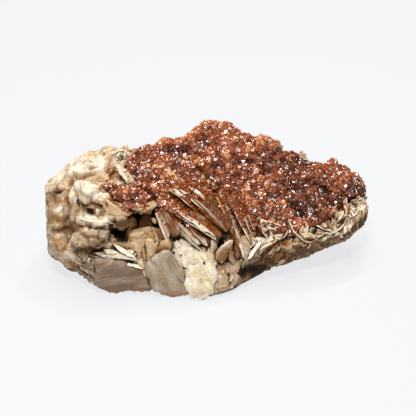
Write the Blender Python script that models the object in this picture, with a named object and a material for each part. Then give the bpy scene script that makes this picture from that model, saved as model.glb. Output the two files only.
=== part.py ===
"""A cabinet specimen of vanadinite on barite: a lump of white barite with a sheaf of tabular blades
at its front, crusted on top with small red-brown vanadinite prisms. Lengths are in millimetres until
mesh_object turns them into metres. +X runs to the right along the lump, +Y to its back and +Z up;
the origin lies on the flat spot that it rests on, below the middle of its length."""

import math
import random

import bpy
import bmesh
import numpy as np
from mathutils import Matrix, Vector, noise
from mathutils.bvhtree import BVHTree

MM = 0.001
GAP = 0.3
BASE_Z = 0.0
RIM_HEIGHT = 22.0
ABOVE_ALL = 70.0
CUTTER_REACH = 20.0


for old in list(bpy.data.objects):
    bpy.data.objects.remove(old)


# Materials


def material(name, colour, roughness):
    made = bpy.data.materials.new(name)
    made.use_nodes = True
    shader = made.node_tree.nodes["Principled BSDF"]
    shader.inputs["Base Color"].default_value = (*colour, 1.0)
    shader.inputs["Roughness"].default_value = roughness
    shader.inputs["Metallic"].default_value = 0.0
    return made


BARITE = material("barite", (0.72, 0.62, 0.47), 0.6)
BLADE_BARITE = material("blade_barite", (0.78, 0.70, 0.56), 0.4)
VANADINITE = material("vanadinite", (0.27, 0.09, 0.045), 0.25)


# Mesh helpers


def mesh_object(name, points, faces, finish):
    """A mesh object of points in millimetres, its faces turned outwards."""
    mesh = bpy.data.meshes.new(name)
    mesh.from_pydata([tuple(c * MM for c in p) for p in points], [], [list(f) for f in faces])
    mesh.materials.append(finish)
    made = bpy.data.objects.new(name, mesh)
    bpy.context.scene.collection.objects.link(made)
    edit = bmesh.new()
    edit.from_mesh(mesh)
    bmesh.ops.recalc_face_normals(edit, faces=edit.faces)
    edit.to_mesh(mesh)
    edit.free()
    return made


def settle_modifiers(obj):
    """Replaces the object's mesh by what its modifiers make of it."""
    bpy.context.view_layer.update()
    graph = bpy.context.evaluated_depsgraph_get()
    made = bpy.data.meshes.new_from_object(obj.evaluated_get(graph))
    obj.modifiers.clear()
    obj.data = made


def combine(obj, others, operation):
    """One exact Boolean of obj with a list of other objects, which are then removed."""
    group = bpy.data.collections.new("operands")
    bpy.context.scene.collection.children.link(group)
    for other in others:
        group.objects.link(other)
    step = obj.modifiers.new(operation.lower(), "BOOLEAN")
    step.operation = operation
    step.operand_type = "COLLECTION"
    step.collection = group
    step.solver = "EXACT"
    step.use_self = True
    settle_modifiers(obj)
    for other in others:
        bpy.data.objects.remove(other)
    bpy.data.collections.remove(group)


def join_shells(obj, others):
    """Adds the others' meshes to obj as they are, and removes them."""
    edit = bmesh.new()
    edit.from_mesh(obj.data)
    for other in others:
        edit.from_mesh(other.data)
        bpy.data.objects.remove(other)
    edit.to_mesh(obj.data)
    edit.free()


def keep_largest(obj):
    """Drops every loose body of the object but the one with the most faces."""
    edit = bmesh.new()
    edit.from_mesh(obj.data)
    bmesh.ops.triangulate(edit, faces=edit.faces)
    left = set(edit.faces)
    bodies = []
    while left:
        body = {left.pop()}
        edge_of_body = list(body)
        while edge_of_body:
            face = edge_of_body.pop()
            near = {other for edge in face.edges for other in edge.link_faces} & left
            left -= near
            body |= near
            edge_of_body += near
        bodies.append(body)
    bodies.sort(key=len, reverse=True)
    loose = [face for body in bodies[1:] for face in body]
    bmesh.ops.delete(edit, geom=loose, context="FACES")
    edit.to_mesh(obj.data)
    edit.free()


def surface_tree(obj):
    edit = bmesh.new()
    edit.from_mesh(obj.data)
    tree = BVHTree.FromBMesh(edit)
    edit.free()
    return tree


def top_height(tree, x, y):
    """The height in millimetres of the highest surface over (x, y), or of the rim nearest to it."""
    hit = tree.ray_cast(Vector((x, y, ABOVE_ALL)) * MM, Vector((0, 0, -1)))[0]
    if hit is None:
        hit = tree.find_nearest(Vector((x, y, RIM_HEIGHT)) * MM)[0]
    return hit.z / MM


def rough(point, scale, seed=0.0):
    """Smooth noise in -1..1 at a point in millimetres, with lumps about scale wide."""
    return noise.noise(Vector(point) / scale + Vector((seed, 2.3 * seed, 5.1 * seed)))


def grown(outline, by):
    """The outline, counterclockwise, with each side moved out by the same distance."""
    corners = [Vector(p) for p in outline]
    count = len(corners)
    made = []
    for i, corner in enumerate(corners):
        before = (corner - corners[i - 1]).normalized()
        after = (corners[(i + 1) % count] - corner).normalized()
        outward = Vector((before.y, -before.x)) + Vector((after.y, -after.x))
        outward.normalize()
        slant = max(0.5, outward.dot(Vector((after.y, -after.x))))
        made.append(corner + outward * (by / slant))
    return made


# Crystal plates: an outline in the plate's own plane, with bevelled edges


def plate(name, outline, place, along, across, thick, finish, grow=0.0, bevelled=True):
    """A tabular crystal whose outline is (along, across) pairs from place, centred on its plane."""
    along = Vector(along).normalized()
    across = Vector(across)
    across = (across - along * across.dot(along)).normalized()
    facing = along.cross(across)
    corners = [Vector(p) for p in outline]
    area = sum(a.x * b.y - a.y * b.x for a, b in zip(corners, corners[1:] + corners[:1]))
    if area < 0:
        corners.reverse()
    half = thick / 2 + grow
    bevel = min(0.45 * thick, 0.6)
    layers = [(-half, 0.0), (half, 0.0)]
    if bevelled:
        layers = [(-half, grow - bevel), (0.0, grow), (half, grow - bevel)]
    points = []
    for height, out in layers:
        for corner in grown(corners, out):
            points.append(Vector(place) + along * corner.x + across * corner.y + facing * height)
    count = len(corners)
    last = len(points) - count
    faces = [tuple(range(count)), tuple(range(last, last + count))]
    for layer in range(0, last, count):
        for i in range(count):
            j = (i + 1) % count
            faces.append((layer + i, layer + j, layer + count + j, layer + count + i))
    return mesh_object(name, points, faces, finish)


# The lump of barite: its cross-sections along X, each as (Y, Z) points that run from the front of the
# base up the front, over the top and down the back to the middle of the base

SECTIONS = {
    -51.0: [(-5, 9), (-8, 13), (-9, 18), (-5, 24), (0, 25),
            (5, 23.5), (8, 16), (3, 9), (-1, 8)],
    -47.0: [(-11, 4.5), (-15, 9), (-16, 17), (-11, 25), (-3, 28),
            (7, 27.6), (14, 18), (7, 5), (-2, 3.5)],
    -40.0: [(-14.5, 2.2), (-20, 7), (-21, 15), (-15, 26), (-4, 30),
            (10, 31), (19, 19), (11, 2.5), (-2, 0.5)],
    -33.0: [(-21.5, 1.5), (-23, 6), (-22.5, 13), (-17, 26), (-4, 30.5),
            (13, 32), (23, 19), (14, 1), (-3, -1)],
    -25.0: [(-21.5, 1.5), (-23, 6), (-23, 13.5), (-16, 27), (-3, 29.5),
            (15, 30.5), (25, 18), (16, 0.8), (-3, -1)],
    -18.0: [(-22.5, 1.5), (-23.8, 7), (-22.5, 14), (-15, 26), (-2, 29),
            (16, 31), (27, 18), (17, 0.5), (-3, -1)],
    -10.0: [(-23, 1.5), (-23, 7), (-18.5, 13), (-10.5, 24), (0, 29.5),
            (17, 31), (28, 18), (18, 0.5), (-3, -1)],
    -2.0: [(-25.5, 0.4), (-22, 8), (-16.5, 14), (-9, 24.5), (2, 31.5),
           (16.5, 35.5), (28, 19), (18, 0.5), (-3, -1)],
    4.0: [(-24.5, 0.6), (-21.5, 7), (-15.5, 13.5), (-8.5, 23.5), (3, 32),
          (17, 36), (28, 19), (18, 0.5), (-3, -1)],
    10.0: [(-20, 0.6), (-20, 5.5), (-17, 12), (-11, 20), (3, 29.5),
           (17.5, 34.5), (28, 19), (17, 0.6), (-1, -0.8)],
    16.0: [(-14, 2.8), (-17.5, 6.5), (-17.5, 12.5), (-14.5, 16.5), (2, 25.5),
           (17.5, 31), (27, 18.5), (15, 2), (0, 1)],
    26.0: [(-10, 4.8), (-14, 7), (-15.5, 11), (-14.5, 13.5), (1, 20.5),
           (16.5, 26.5), (25, 17.5), (12, 4), (1, 3.4)],
    36.0: [(-6, 7), (-10.5, 8.5), (-12, 12), (-11.5, 14), (2, 19.5),
           (14, 24), (21, 17), (8, 7), (1, 6.2)],
    45.0: [(-2, 9), (-6, 10.5), (-8, 13), (-7.5, 15.5), (2, 20),
           (10, 22.5), (15, 17), (5, 9.5), (2, 9)],
    50.0: [(1, 12.5), (-2, 13.5), (-3, 15.5), (-1.5, 18.5), (3, 20),
           (6.5, 20.5), (9, 17.5), (5, 13.5), (3, 12.5)],
    51.6: [(2, 15), (1, 15.5), (0.7, 17), (1, 18), (3, 18.7),
           (5, 18.7), (5.8, 17.3), (4.5, 15.6), (3, 15)],
}
STEPS_ALONG = 52
STEPS_AROUND = 44

# Rounded lobes that stand out of the lump: middle and half-lengths
LOBES = {
    "upper_left": [(-37.6, -8.6, 27.6), (4.6, 6.6, 4.6)],
    "left_lip": [(-36, -18, 22.8), (5.2, 2.4, 1.3)],
    "left_belly": [(-36.7, -19.6, 18.4), (5.4, 4.8, 3.4)],
    "left_foot": [(-45.6, -11.6, 9.4), (4.8, 5.6, 4.0)],
    "left_end_top": [(-48.4, -3, 25.0), (3.2, 5, 3.4)],
    "left_end_high": [(-47.4, -10.4, 22.4), (3.0, 4, 2.6)],
    "left_end_mid": [(-48.0, -12.6, 18.2), (2.8, 4.0, 2.2)],
    "left_end_low": [(-47.2, -13.6, 14.2), (2.8, 4.0, 2.2)],
    "back_left_knob": [(-30.5, 11, 31.8), (3.6, 3.6, 2.4)],
    "left_crown": [(-39.5, 1, 28.6), (5, 6, 2.4)],
    "under_right": [(13.8, -11, 4.0), (4.2, 4.4, 3.4)],
    "under_far_right": [(28, -4, 5.5), (6, 5, 3)],
    "back_middle": [(-6, 24, 12), (11, 6, 8)],
    "back_right": [(22, 22, 17), (8, 5, 6)],
    "back_left": [(-30, 20, 14), (9, 5, 8)],
}
# Hollows cut into the lump, in the same way
HOLLOWS = {
    "cavity": [(-23.5, -18, 20.6), (8.6, 8.4, 5.8)],
    "cavity_right": [(-18.5, -14, 21.0), (6.6, 6.6, 4.4)],
    "cavity_apron": [(-21.0, -23.5, 16.6), (10.5, 5.6, 5.2)],
    "cavity_left_hole": [(-28.4, -16, 17.6), (2.8, 6.0, 2.6)],
    "left_pit": [(-37.6, -17.6, 25.6), (2.2, 4.0, 1.5)],
    "left_groove": [(-43.6, -19.0, 19.0), (1.7, 4.4, 8.5)],
    "left_slit": [(-41.6, -12.5, 27.8), (0.9, 3.0, 2.2)],
    "end_slit": [(-47.6, -5.6, 27.2), (2.0, 1.4, 0.8)],
    "right_rim_hollow": [(14.6, -14.2, 18.4), (3.6, 3.8, 2.8)],
    "right_rim_pocket": [(32.6, -12.4, 15.0), (2.4, 3.0, 1.7)],
    "right_end_pocket": [(46.4, -1.2, 19.8), (1.5, 2.6, 1.3)],
}
LUMP_VOXEL = 1.1
LUMP_TRIANGLES = 2000


def hermite(before, start, end, after, t):
    """The point at t between start and end, on a curve that is smooth through all four."""
    return 0.5 * (
        2 * start
        + (end - before) * t
        + (2 * before - 5 * start + 4 * end - after) * t ** 2
        + (3 * start - before - 3 * end + after) * t ** 3
    )


def smooth_ring(corners, count):
    """count points on a smooth closed curve through the corners."""
    corners = np.array(corners, float)
    ring = []
    for place in np.arange(count) / count * len(corners):
        i = int(place)
        near = [corners[(i + k) % len(corners)] for k in (-1, 0, 1, 2)]
        ring.append(hermite(*near, place - i))
    return np.array(ring)


def lump_skin():
    """The lump's smooth skin, as rings of points from its left end to its right end."""
    places = sorted(SECTIONS)
    rings = [smooth_ring(SECTIONS[x], STEPS_AROUND) for x in places]
    points = []
    for x in np.linspace(places[0], places[-1], STEPS_ALONG):
        i = min(int(np.searchsorted(places, x, side="right")) - 1, len(places) - 2)
        near = [rings[min(max(i + k, 0), len(rings) - 1)] for k in (-1, 0, 1, 2)]
        t = (x - places[i]) / (places[i + 1] - places[i])
        points += [(x, y, z) for y, z in hermite(*near, t)]
    faces = []
    for row in range(STEPS_ALONG - 1):
        for k in range(STEPS_AROUND):
            a = row * STEPS_AROUND + k
            b = row * STEPS_AROUND + (k + 1) % STEPS_AROUND
            faces.append((a, b, b + STEPS_AROUND, a + STEPS_AROUND))
    faces.append(tuple(range(STEPS_AROUND)))
    faces.append(tuple(range((STEPS_ALONG - 1) * STEPS_AROUND, STEPS_ALONG * STEPS_AROUND)))
    return mesh_object("barite_matrix", points, faces, BARITE)


def ball(middle, halves):
    """A rounded solid with the given half-lengths."""
    edit = bmesh.new()
    bmesh.ops.create_icosphere(edit, subdivisions=3, radius=1.0)
    points = [Vector(middle) + Vector(v.co[i] * halves[i] for i in range(3)) for v in edit.verts]
    faces = [[v.index for v in f.verts] for f in edit.faces]
    edit.free()
    return mesh_object("ball", points, faces, BARITE)


# The ledge over the cavity, as a slab seen from above
LEDGE_OUTLINE = [(-33, -5), (-32.5, -9), (-30, -13), (-26.5, -16.5), (-22, -19), (-17.5, -18.5),
                 (-14.5, -14), (-14, -7), (-22, -4)]
LEDGE_TOP = 29.2
LEDGE_THICK = 2.6


def slab(outline, top, thick):
    """An upright slab with the outline seen from above."""
    place = (0, 0, top - thick / 2)
    return plate("slab", outline, place, (1, 0, 0), (0, 1, 0), thick, BARITE)


def roughen(obj):
    """Moves the surface in and out, as knobs about 9 and 4 mm wide with sharp creases between them."""
    mesh = obj.data
    mesh.update()
    moved = []
    for vertex in mesh.vertices:
        p = vertex.co / MM
        knob = 0.55 * (abs(rough(p, 9.0, 1.0)) * 2 - 0.5)
        fine = 0.32 * (abs(rough(p, 4.2, 2.0)) * 2 - 0.5)
        moved.append(vertex.co + vertex.normal * (knob + fine) * MM)
    for vertex, co in zip(mesh.vertices, moved):
        vertex.co = co


def build_lump():
    lump = lump_skin()
    ledge = slab(LEDGE_OUTLINE, LEDGE_TOP, LEDGE_THICK)
    join_shells(lump, [ball(*lobe) for lobe in LOBES.values()] + [ledge])
    step = lump.modifiers.new("grow together", "REMESH")
    step.mode = "VOXEL"
    step.voxel_size = LUMP_VOXEL * MM
    settle_modifiers(lump)
    combine(lump, [ball(*hollow) for hollow in HOLLOWS.values()], "DIFFERENCE")
    step = lump.modifiers.new("even out", "REMESH")
    step.mode = "VOXEL"
    step.voxel_size = LUMP_VOXEL * MM
    settle_modifiers(lump)
    roughen(lump)
    step = lump.modifiers.new("facet", "DECIMATE")
    step.ratio = LUMP_TRIANGLES / (2 * len(lump.data.polygons))
    settle_modifiers(lump)
    keep_largest(lump)
    return lump


# Crystals that have grown together with the lump: foot, growing direction, direction they face,
# width, height and thickness

GROWN_IN = {
    "cavity_post": [(-17.7, -22.2, 9.6), (0.0, 0.36, 0.93), (0.15, -1, 0.2), 3.8, 8.8, 1.5],
    "cavity_point": [(-22.6, -20.4, 11.0), (-0.12, 0.25, 0.9), (-0.2, -0.9, 0.3), 7.0, 7.4, 1.5],
    "cavity_platform": [(-20.5, -12.0, 16.0), (0.0, -0.95, 0.12), (0.05, 0.1, 1), 10.5, 5.0, 1.4],
    "cavity_grey_blade": [(-24.6, -12.0, 15.5), (0.05, 0.0, 1), (0.45, -0.9, 0.1), 4.4, 8.6, 1.1],
    "cavity_round_blade": [(-20.0, -10.5, 15.5), (0.05, -0.1, 1), (-0.1, -1, 0.2), 5.4, 7.6, 1.2],
    "cavity_wing": [(-14.6, -15.5, 12.2), (-0.1, 0.0, 1), (-0.55, -0.8, 0.1), 5.6, 8.0, 1.3],
    "cavity_wing_low": [(-14.0, -21.0, 10.0), (0.0, 0.3, 0.95), (-0.35, -0.9, 0.2), 4.6, 7.4, 1.3],
    "cavity_left_web": [(-28.8, -14.0, 25.6), (0.1, -0.35, -0.95), (0.35, -0.9, 0.2), 5.0, 6.5, 1.2],
    "rim_splinter": [(-27.6, -21.4, 10.6), (0.75, -0.1, 0.6), (0.35, -0.75, 0.55), 4.4, 7.0, 0.9],
    "rim_splinter_left": [(-32.5, -20.6, 11.8), (0.8, -0.1, 0.45), (0.2, -0.8, 0.6), 4.6, 7.4, 0.9],
    "rim_splinter_low": [(-26.0, -22.2, 9.4), (0.85, -0.1, 0.3), (0.1, -0.85, 0.5), 4.0, 6.6, 0.9],
    "open_book": [(-26.8, -2.5, 27.5), (0.25, -0.2, 0.95), (0.82, 0.5, 0.25), 9.5, 6.0, 1.2],
    "open_book_left": [(-30.0, 0.5, 28.0), (-0.1, -0.1, 1), (0.9, -0.35, 0.2), 7.0, 5.0, 1.1],
    "ledge_lip": [(-28.5, -12.0, 26.8), (0.35, -0.85, -0.25), (-0.1, -0.3, 0.95), 6.4, 7.5, 1.5],
    "left_flag": [(-33.2, -12.5, 22.5), (-0.1, -0.35, 0.93), (-0.45, -0.88, 0.1), 5.5, 7.0, 1.3],
    "left_shelf": [(-36.2, -15.0, 22.2), (0.05, -1, 0.1), (0, 0.1, 1), 8.6, 5.4, 1.2],
    "under_fin_1": [(-38.5, -15.5, 9.0), (-0.1, -0.9, -0.3), (0.85, -0.3, 0.4), 6.0, 5.6, 1.1],
    "under_fin_2": [(-35.4, -16.5, 7.0), (0.0, -0.9, -0.3), (0.8, -0.2, 0.55), 6.5, 5.8, 1.1],
    "under_fin_3": [(-41.5, -14.0, 10.5), (-0.2, -0.9, -0.2), (0.7, -0.4, 0.5), 5.5, 5.2, 1.1],
    "hollow_wall_left": [(11.4, -10.5, 17.5), (0.15, -0.85, 0.25), (0.95, 0.2, -0.2), 7.0, 5.4, 1.1],
    "hollow_wall_right": [(17.6, -10.0, 17.0), (0.2, -0.9, 0.2), (0.85, 0.25, 0.35), 7.5, 6.4, 1.2],
    "keel": [(14.4, -13.0, 11.0), (-0.1, -0.95, 0.1), (0.8, -0.1, -0.55), 9.5, 5.6, 1.3],
    "pocket_wall": [(30.4, -9.5, 13.5), (0.1, -0.9, 0.3), (0.9, 0.1, -0.3), 6.0, 5.6, 1.1],
}


def grown_in_crystal(foot, grow, face, width, height, thick):
    """A blade with a chisel tip whose root goes down into the lump."""
    grow = Vector(grow).normalized()
    face = Vector(face)
    side = grow.cross(face)
    half = width / 2
    outline = [(-0.7 * half, -1.5), (0.7 * half, -1.5), (half, 0.6 * height), (0.5 * half, 0.95 * height),
               (-0.3 * half, height), (-half, 0.7 * height)]
    return plate("grown in", outline, foot, side, grow, thick, BARITE, bevelled=False)


# Rows of short upright crystals along the lump's rims, like petals: from, to, direction they grow, and
# how many

PETAL_ROWS = {
    "right_rim": [(19.5, -14.0, 14.5), (40.0, -8.5, 13.8), (0.0, -0.8, 0.6), 8],
    "right_end": [(41.0, -6.0, 15.5), (50.0, 1.5, 17.0), (0.3, -0.6, 0.7), 6],
    "back_rim_left": [(-40.0, 13.0, 27.5), (-14.0, 19.0, 28.5), (0.0, 0.75, 0.65), 5],
    "back_rim_right": [(6.0, 23.0, 31.0), (42.0, 14.5, 21.0), (0.0, 0.75, 0.65), 7],
    "left_rim": [(-47.0, -2.5, 24.4), (-40.0, 9.0, 27.6), (-0.5, 0.2, 0.8), 4],
}
PETAL_WIDTH = 5.2
PETAL_HEIGHT = 3.0
PETAL_THICK = 1.0


def petal_row(start, end, grow, count, draw):
    """Crystals that fan out side by side, each turned and tipped a little from the last."""
    start, end, grow = Vector(start), Vector(end), Vector(grow).normalized()
    run = (end - start).normalized()
    made = []
    for i in range(count):
        foot = start.lerp(end, (i + draw.uniform(0.25, 0.75)) / count) - grow * 1.6
        turn = Matrix.Rotation(math.radians(draw.uniform(-65, 65)), 3, grow)
        tip = Matrix.Rotation(math.radians(draw.uniform(-28, 28)), 3, run)
        size = draw.uniform(0.75, 1.25)
        crystal = (foot, tip @ grow, tip @ turn @ run, PETAL_WIDTH * size, PETAL_HEIGHT * size + 1.6,
                   PETAL_THICK)
        made.append(grown_in_crystal(*crystal))
    return made


# The free-standing blades at the front: two ends of the front edge, the direction that runs back into
# the lump, how deep they reach along it, how much the front edge bows out, and thickness

SHEAF = {
    "fan_blade_1": [(-15.9, -17.2, 26.3), (-12.6, -20.4, 18.2), (0.7, 0.7, 0.1), 8.5, 0.6, 1.2],
    "fan_blade_2": [(-12.6, -16.6, 24.8), (-2.6, -20.8, 15.4), (0.42, 0.9, 0.02), 9.0, 0.9, 1.1],
    "fan_blade_3": [(-7.2, -17.2, 22.6), (-0.6, -20.6, 16.6), (0.3, 0.94, 0.05), 8.0, 0.6, 0.9],
    "fan_blade_4": [(-15.4, -14.6, 29.0), (2.6, -19.6, 18.7), (0.22, 0.95, 0.1), 10.0, 1.0, 1.2],
    "fan_blade_5": [(-11.6, -10.6, 30.8), (0.6, -16.4, 22.0), (0.2, 0.95, 0.1), 9.5, 0.5, 0.9],
    "fan_blade_6": [(-5.4, -12.0, 28.4), (5.2, -17.4, 20.4), (0.22, 0.95, 0.1), 9.0, 0.8, 1.1],
    "fan_blade_7": [(-5.3, -9.0, 30.3), (6.4, -14.6, 21.2), (0.22, 0.95, 0.1), 9.0, 0.6, 0.9],
    "fan_blade_8": [(3.1, -9.4, 28.6), (10.6, -17.6, 12.4), (0.35, 0.93, 0.1), 9.5, 1.8, 1.2],
    "fan_blade_9": [(6.4, -9.8, 27.4), (12.9, -16.6, 16.2), (0.35, 0.93, 0.1), 8.0, 1.0, 1.1],
    "stem_blade": [(1.9, -18.6, 17.4), (2.4, -20.8, 10.6), (0.85, 0.5, 0.0), 4.5, 0.4, 0.9],
    "leaf_blade": [(8.1, -17.4, 16.6), (2.9, -20.8, 10.2), (0.75, 0.6, -0.1), 4.6, 1.3, 1.1],
}


def sheaf_outline(length, deep, bow):
    """A blade's outline, front edge along +x and worn a little uneven, its root at the far side."""
    return [(0.0, 0.4), (0.2 * length, -0.5 * bow), (0.42 * length, -bow), (0.66 * length, -0.9 * bow),
            (0.86 * length, -0.5 * bow), (length, 0.8), (0.97 * length, 0.55 * deep), (0.78 * length, deep),
            (0.12 * length, deep), (-0.03 * length, 0.5 * deep)]


def sheaf_blade(name, grow=0.0):
    start, end, back, deep, bow, thick = SHEAF[name]
    run = Vector(end) - Vector(start)
    outline = sheaf_outline(run.length, deep, bow)
    return plate(name, outline, start, run, back, thick, BLADE_BARITE, grow)


# The broad crystals low on the front, seen face on: outline as (X, height up the face), the place of
# its zero, which way its face runs up, and thickness

FACES = {
    "tongue_plate": [
        [(-4.8, 0.6), (-8, 5), (-10.8, 9.5), (-11.8, 14), (-9.5, 16.2), (-5, 16),
         (0, 14), (1.8, 11), (2.2, 6), (1.5, 1.5), (-1, 0.4)],
        (0, -26.4, 1.2), (0, 0.494, 0.87), 2.0],
    "shell_plate": [
        [(-18.8, 8), (-18.6, 11.5), (-16, 14.2), (-12.8, 15), (-10.8, 13), (-8, 8.5),
         (-6, 3.5), (-6.2, 0.8), (-12, 0.4), (-16.5, 2)],
        (0, -24.2, 0.6), (0, 0.02, 1), 2.0],
    "grey_plate": [
        [(-34.8, 5), (-34.6, 13.4), (-29, 12.6), (-24, 11), (-19.6, 9.2),
         (-18.2, 4), (-18.6, 0.9), (-30, 0.5), (-33.4, 2)],
        (0, -21.8, 0.5), (0, -0.2, 0.98), 1.8],
}


def face_plate(name, grow=0.0):
    outline, place, up, thick = FACES[name]
    return plate(name, outline, place, (1, 0, 0), up, thick, BLADE_BARITE, grow)


# The vanadinite crusts: outline seen from above, how thick the crust is over the lump, how many prisms
# stand out of it, and the lowest height of the lump under it

CRUSTS = {
    "vanadinite_crust": [
        [(-22, 14), (-26, 5), (-24, -5), (-18.5, -9), (-17, -13), (-9, -13.5), (-6, -10), (0, -9),
         (7, -9.5), (12, -12), (20, -14), (27, -12.5), (34, -8), (40, -4), (43, 0.5), (46.5, 3.5),
         (50.6, 3.6), (50.6, 8.5), (46, 12.5), (38, 15.5), (28, 18), (14, 20), (0, 20), (-12, 18)],
        1.6, 42, 10.0],
    "vanadinite_ledge_patch": [
        [(-33, -6), (-31.5, -10), (-28, -13.5), (-24, -16.5), (-20, -17), (-17.5, -14), (-22, -9.5),
         (-27, -6.5)],
        1.2, 6, 28.6],
}
KNOBS = {
    "summit": [(0.2, 15.0), 4.0, 3.8],
    "summit_right": [(8.6, 14.5), 3.2, 2.8],
    "ridge": [(18.6, 15.0), 3.8, 3.4],
    "ridge_right": [(27.5, 14.0), 3.6, 2.2],
    "right_end": [(43.0, 9.5), 6.4, 3.2],
    "right_front": [(35.5, -1.0), 3.4, 1.6],
    "left_shoulder": [(-12.0, 13.0), 5.4, 2.0],
    "fan_head": [(-12.6, -12.6), 3.4, 3.4],
    "middle": [(6.0, 4.0), 4.0, 1.0],
}
DIPS = {
    "notch": [(13.8, 16.5), 1.8, 1.6],
    "left_hollow": [(-12.5, 7.5), 2.4, 1.6],
    "middle_hollow": [(16.5, 3.5), 2.4, 1.5],
    "right_hollow": [(29.5, -6.0), 2.2, 1.6],
    "crevice": [(37.0, 4.0), 1.5, 1.8],
    "summit_hollow": [(-1.5, 11.5), 1.6, 2.2],
}
CRUST_CELL = 2.4
FLOOR_CELL = 5.0
CRUST_ROOT = 1.3
CRUST_BOTTOM = 4.0
PRISM_SIDES = 6
PRISM_ROOT = 1.0


def bumps(x, y):
    """How much higher the crust stands at a place, from its knobs and dips."""
    height = 0.0
    for sign, group in ((1, KNOBS), (-1, DIPS)):
        for (at_x, at_y), radius, rise in group.values():
            height += sign * rise * math.exp(-((x - at_x) ** 2 + (y - at_y) ** 2) / radius ** 2)
    return height


def relief_block(name, box, cell, top, bottom, finish):
    """A solid over the box (x0, x1, y0, y1): each of top and bottom is a height or a function of x, y."""
    x0, x1, y0, y1 = box
    across = max(1, math.ceil((x1 - x0) / cell))
    along = max(1, math.ceil((y1 - y0) / cell))
    points = []
    for height in (bottom, top):
        for j in range(along + 1):
            for i in range(across + 1):
                x = x0 + (x1 - x0) * i / across
                y = y0 + (y1 - y0) * j / along
                points.append((x, y, height(x, y) if callable(height) else height))
    row = across + 1
    layer = row * (along + 1)
    faces = []
    for base in (0, layer):
        for j in range(along):
            for i in range(across):
                a = base + j * row + i
                faces += [(a, a + 1, a + row + 1), (a, a + row + 1, a + row)]
    rim = [i for i in range(row)] + [j * row + across for j in range(1, along + 1)]
    rim += [along * row + i for i in range(across - 1, -1, -1)] + [j * row for j in range(along - 1, 0, -1)]
    for a, b in zip(rim, rim[1:] + rim[:1]):
        faces.append((a, b, b + layer, a + layer))
    return mesh_object(name, points, faces, finish)


def hex_prism(foot, grow, radius, height, turn):
    """One vanadinite prism: six flat sides and a flat end."""
    grow = Vector(grow).normalized()
    side = grow.orthogonal().normalized()
    other = grow.cross(side)
    points = []
    for along in (-PRISM_ROOT, height):
        for k in range(PRISM_SIDES):
            angle = turn + math.tau * k / PRISM_SIDES
            out = side * math.cos(angle) + other * math.sin(angle)
            points.append(Vector(foot) + grow * along + out * radius)
    faces = [tuple(range(PRISM_SIDES)), tuple(range(PRISM_SIDES, 2 * PRISM_SIDES))]
    for k in range(PRISM_SIDES):
        j = (k + 1) % PRISM_SIDES
        faces.append((k, j, PRISM_SIDES + j, PRISM_SIDES + k))
    return mesh_object("prism", points, faces, VANADINITE)


def outline_box(outline, margin):
    xs = [p[0] for p in outline]
    ys = [p[1] for p in outline]
    return min(xs) - margin, max(xs) + margin, min(ys) - margin, max(ys) + margin


def inside(outline, x, y):
    hit = False
    for (ax, ay), (bx, by) in zip(outline, outline[1:] + outline[:1]):
        if (ay > y) != (by > y) and x < ax + (y - ay) * (bx - ax) / (by - ay):
            hit = not hit
    return hit


def upright(outline, low, high):
    """A straight-sided block with the outline seen from above."""
    points = [(*p, low) for p in outline] + [(*p, high) for p in outline]
    count = len(outline)
    faces = [tuple(range(count)), tuple(range(count, 2 * count))]
    faces += [(i, (i + 1) % count, count + (i + 1) % count, count + i) for i in range(count)]
    return mesh_object("upright", points, faces, VANADINITE)


def crust_floor(name, tree, drop):
    """The solid above the crust's seat in the lump; drop lowers it and widens it."""
    outline, _, _, lowest = CRUSTS[name]
    wide = [tuple(p) for p in grown(outline, drop)]

    def seat(x, y):
        return max(lowest, top_height(tree, x, y)) - CRUST_ROOT - drop

    block = relief_block(name, outline_box(outline, 2.0), FLOOR_CELL, ABOVE_ALL, seat, VANADINITE)
    combine(block, [upright(wide, BASE_Z, ABOVE_ALL + CUTTER_REACH)], "INTERSECT")
    return block


def crust(name, tree, draw):
    outline, thick, prisms, lowest = CRUSTS[name]

    def top(x, y):
        grain = 1.3 * rough((x, y, 0), 2.6, 3.0) + 0.9 * rough((x, y, 0), 6.5, 4.0)
        return max(lowest, top_height(tree, x, y)) + thick + bumps(x, y) + grain

    made = relief_block(name, outline_box(outline, 2.5), CRUST_CELL, top, CRUST_BOTTOM, VANADINITE)
    combine(made, [crust_floor(name, tree, 0.0)], "INTERSECT")
    skin = surface_tree(made)
    crystals = []
    x0, x1, y0, y1 = outline_box(outline, 0.0)
    while len(crystals) < prisms:
        x, y = draw.uniform(x0, x1), draw.uniform(y0, y1)
        around = [(x + dx, y + dy) for dx, dy in ((1.6, 0), (-1.6, 0), (0, 1.6), (0, -1.6))]
        if not all(inside(outline, *p) for p in around):
            continue
        hit, normal = skin.ray_cast(Vector((x, y, ABOVE_ALL)) * MM, Vector((0, 0, -1)))[:2]
        grow = normal + Vector((draw.uniform(-0.6, 0.6), draw.uniform(-0.6, 0.6), draw.uniform(0, 0.4)))
        radius = draw.uniform(1.0, 1.7)
        crystals.append(hex_prism(hit / MM, grow, radius, draw.uniform(0.6, 1.2), draw.uniform(0, 1)))
    combine(made, crystals, "UNION")
    keep_largest(made)
    return made


# Putting the specimen together

BLADES = list(SHEAF) + list(FACES)


def blade(name, grow=0.0):
    return sheaf_blade(name, grow) if name in SHEAF else face_plate(name, grow)


def cut_base(obj):
    """Cuts the object off flat at the height that it rests on."""
    wide, deep = 4 * CUTTER_REACH, 3 * CUTTER_REACH
    below = relief_block("below", (-wide, wide, -deep, deep), 2 * wide, BASE_Z, -2 * CUTTER_REACH, BARITE)
    combine(obj, [below], "DIFFERENCE")


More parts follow.
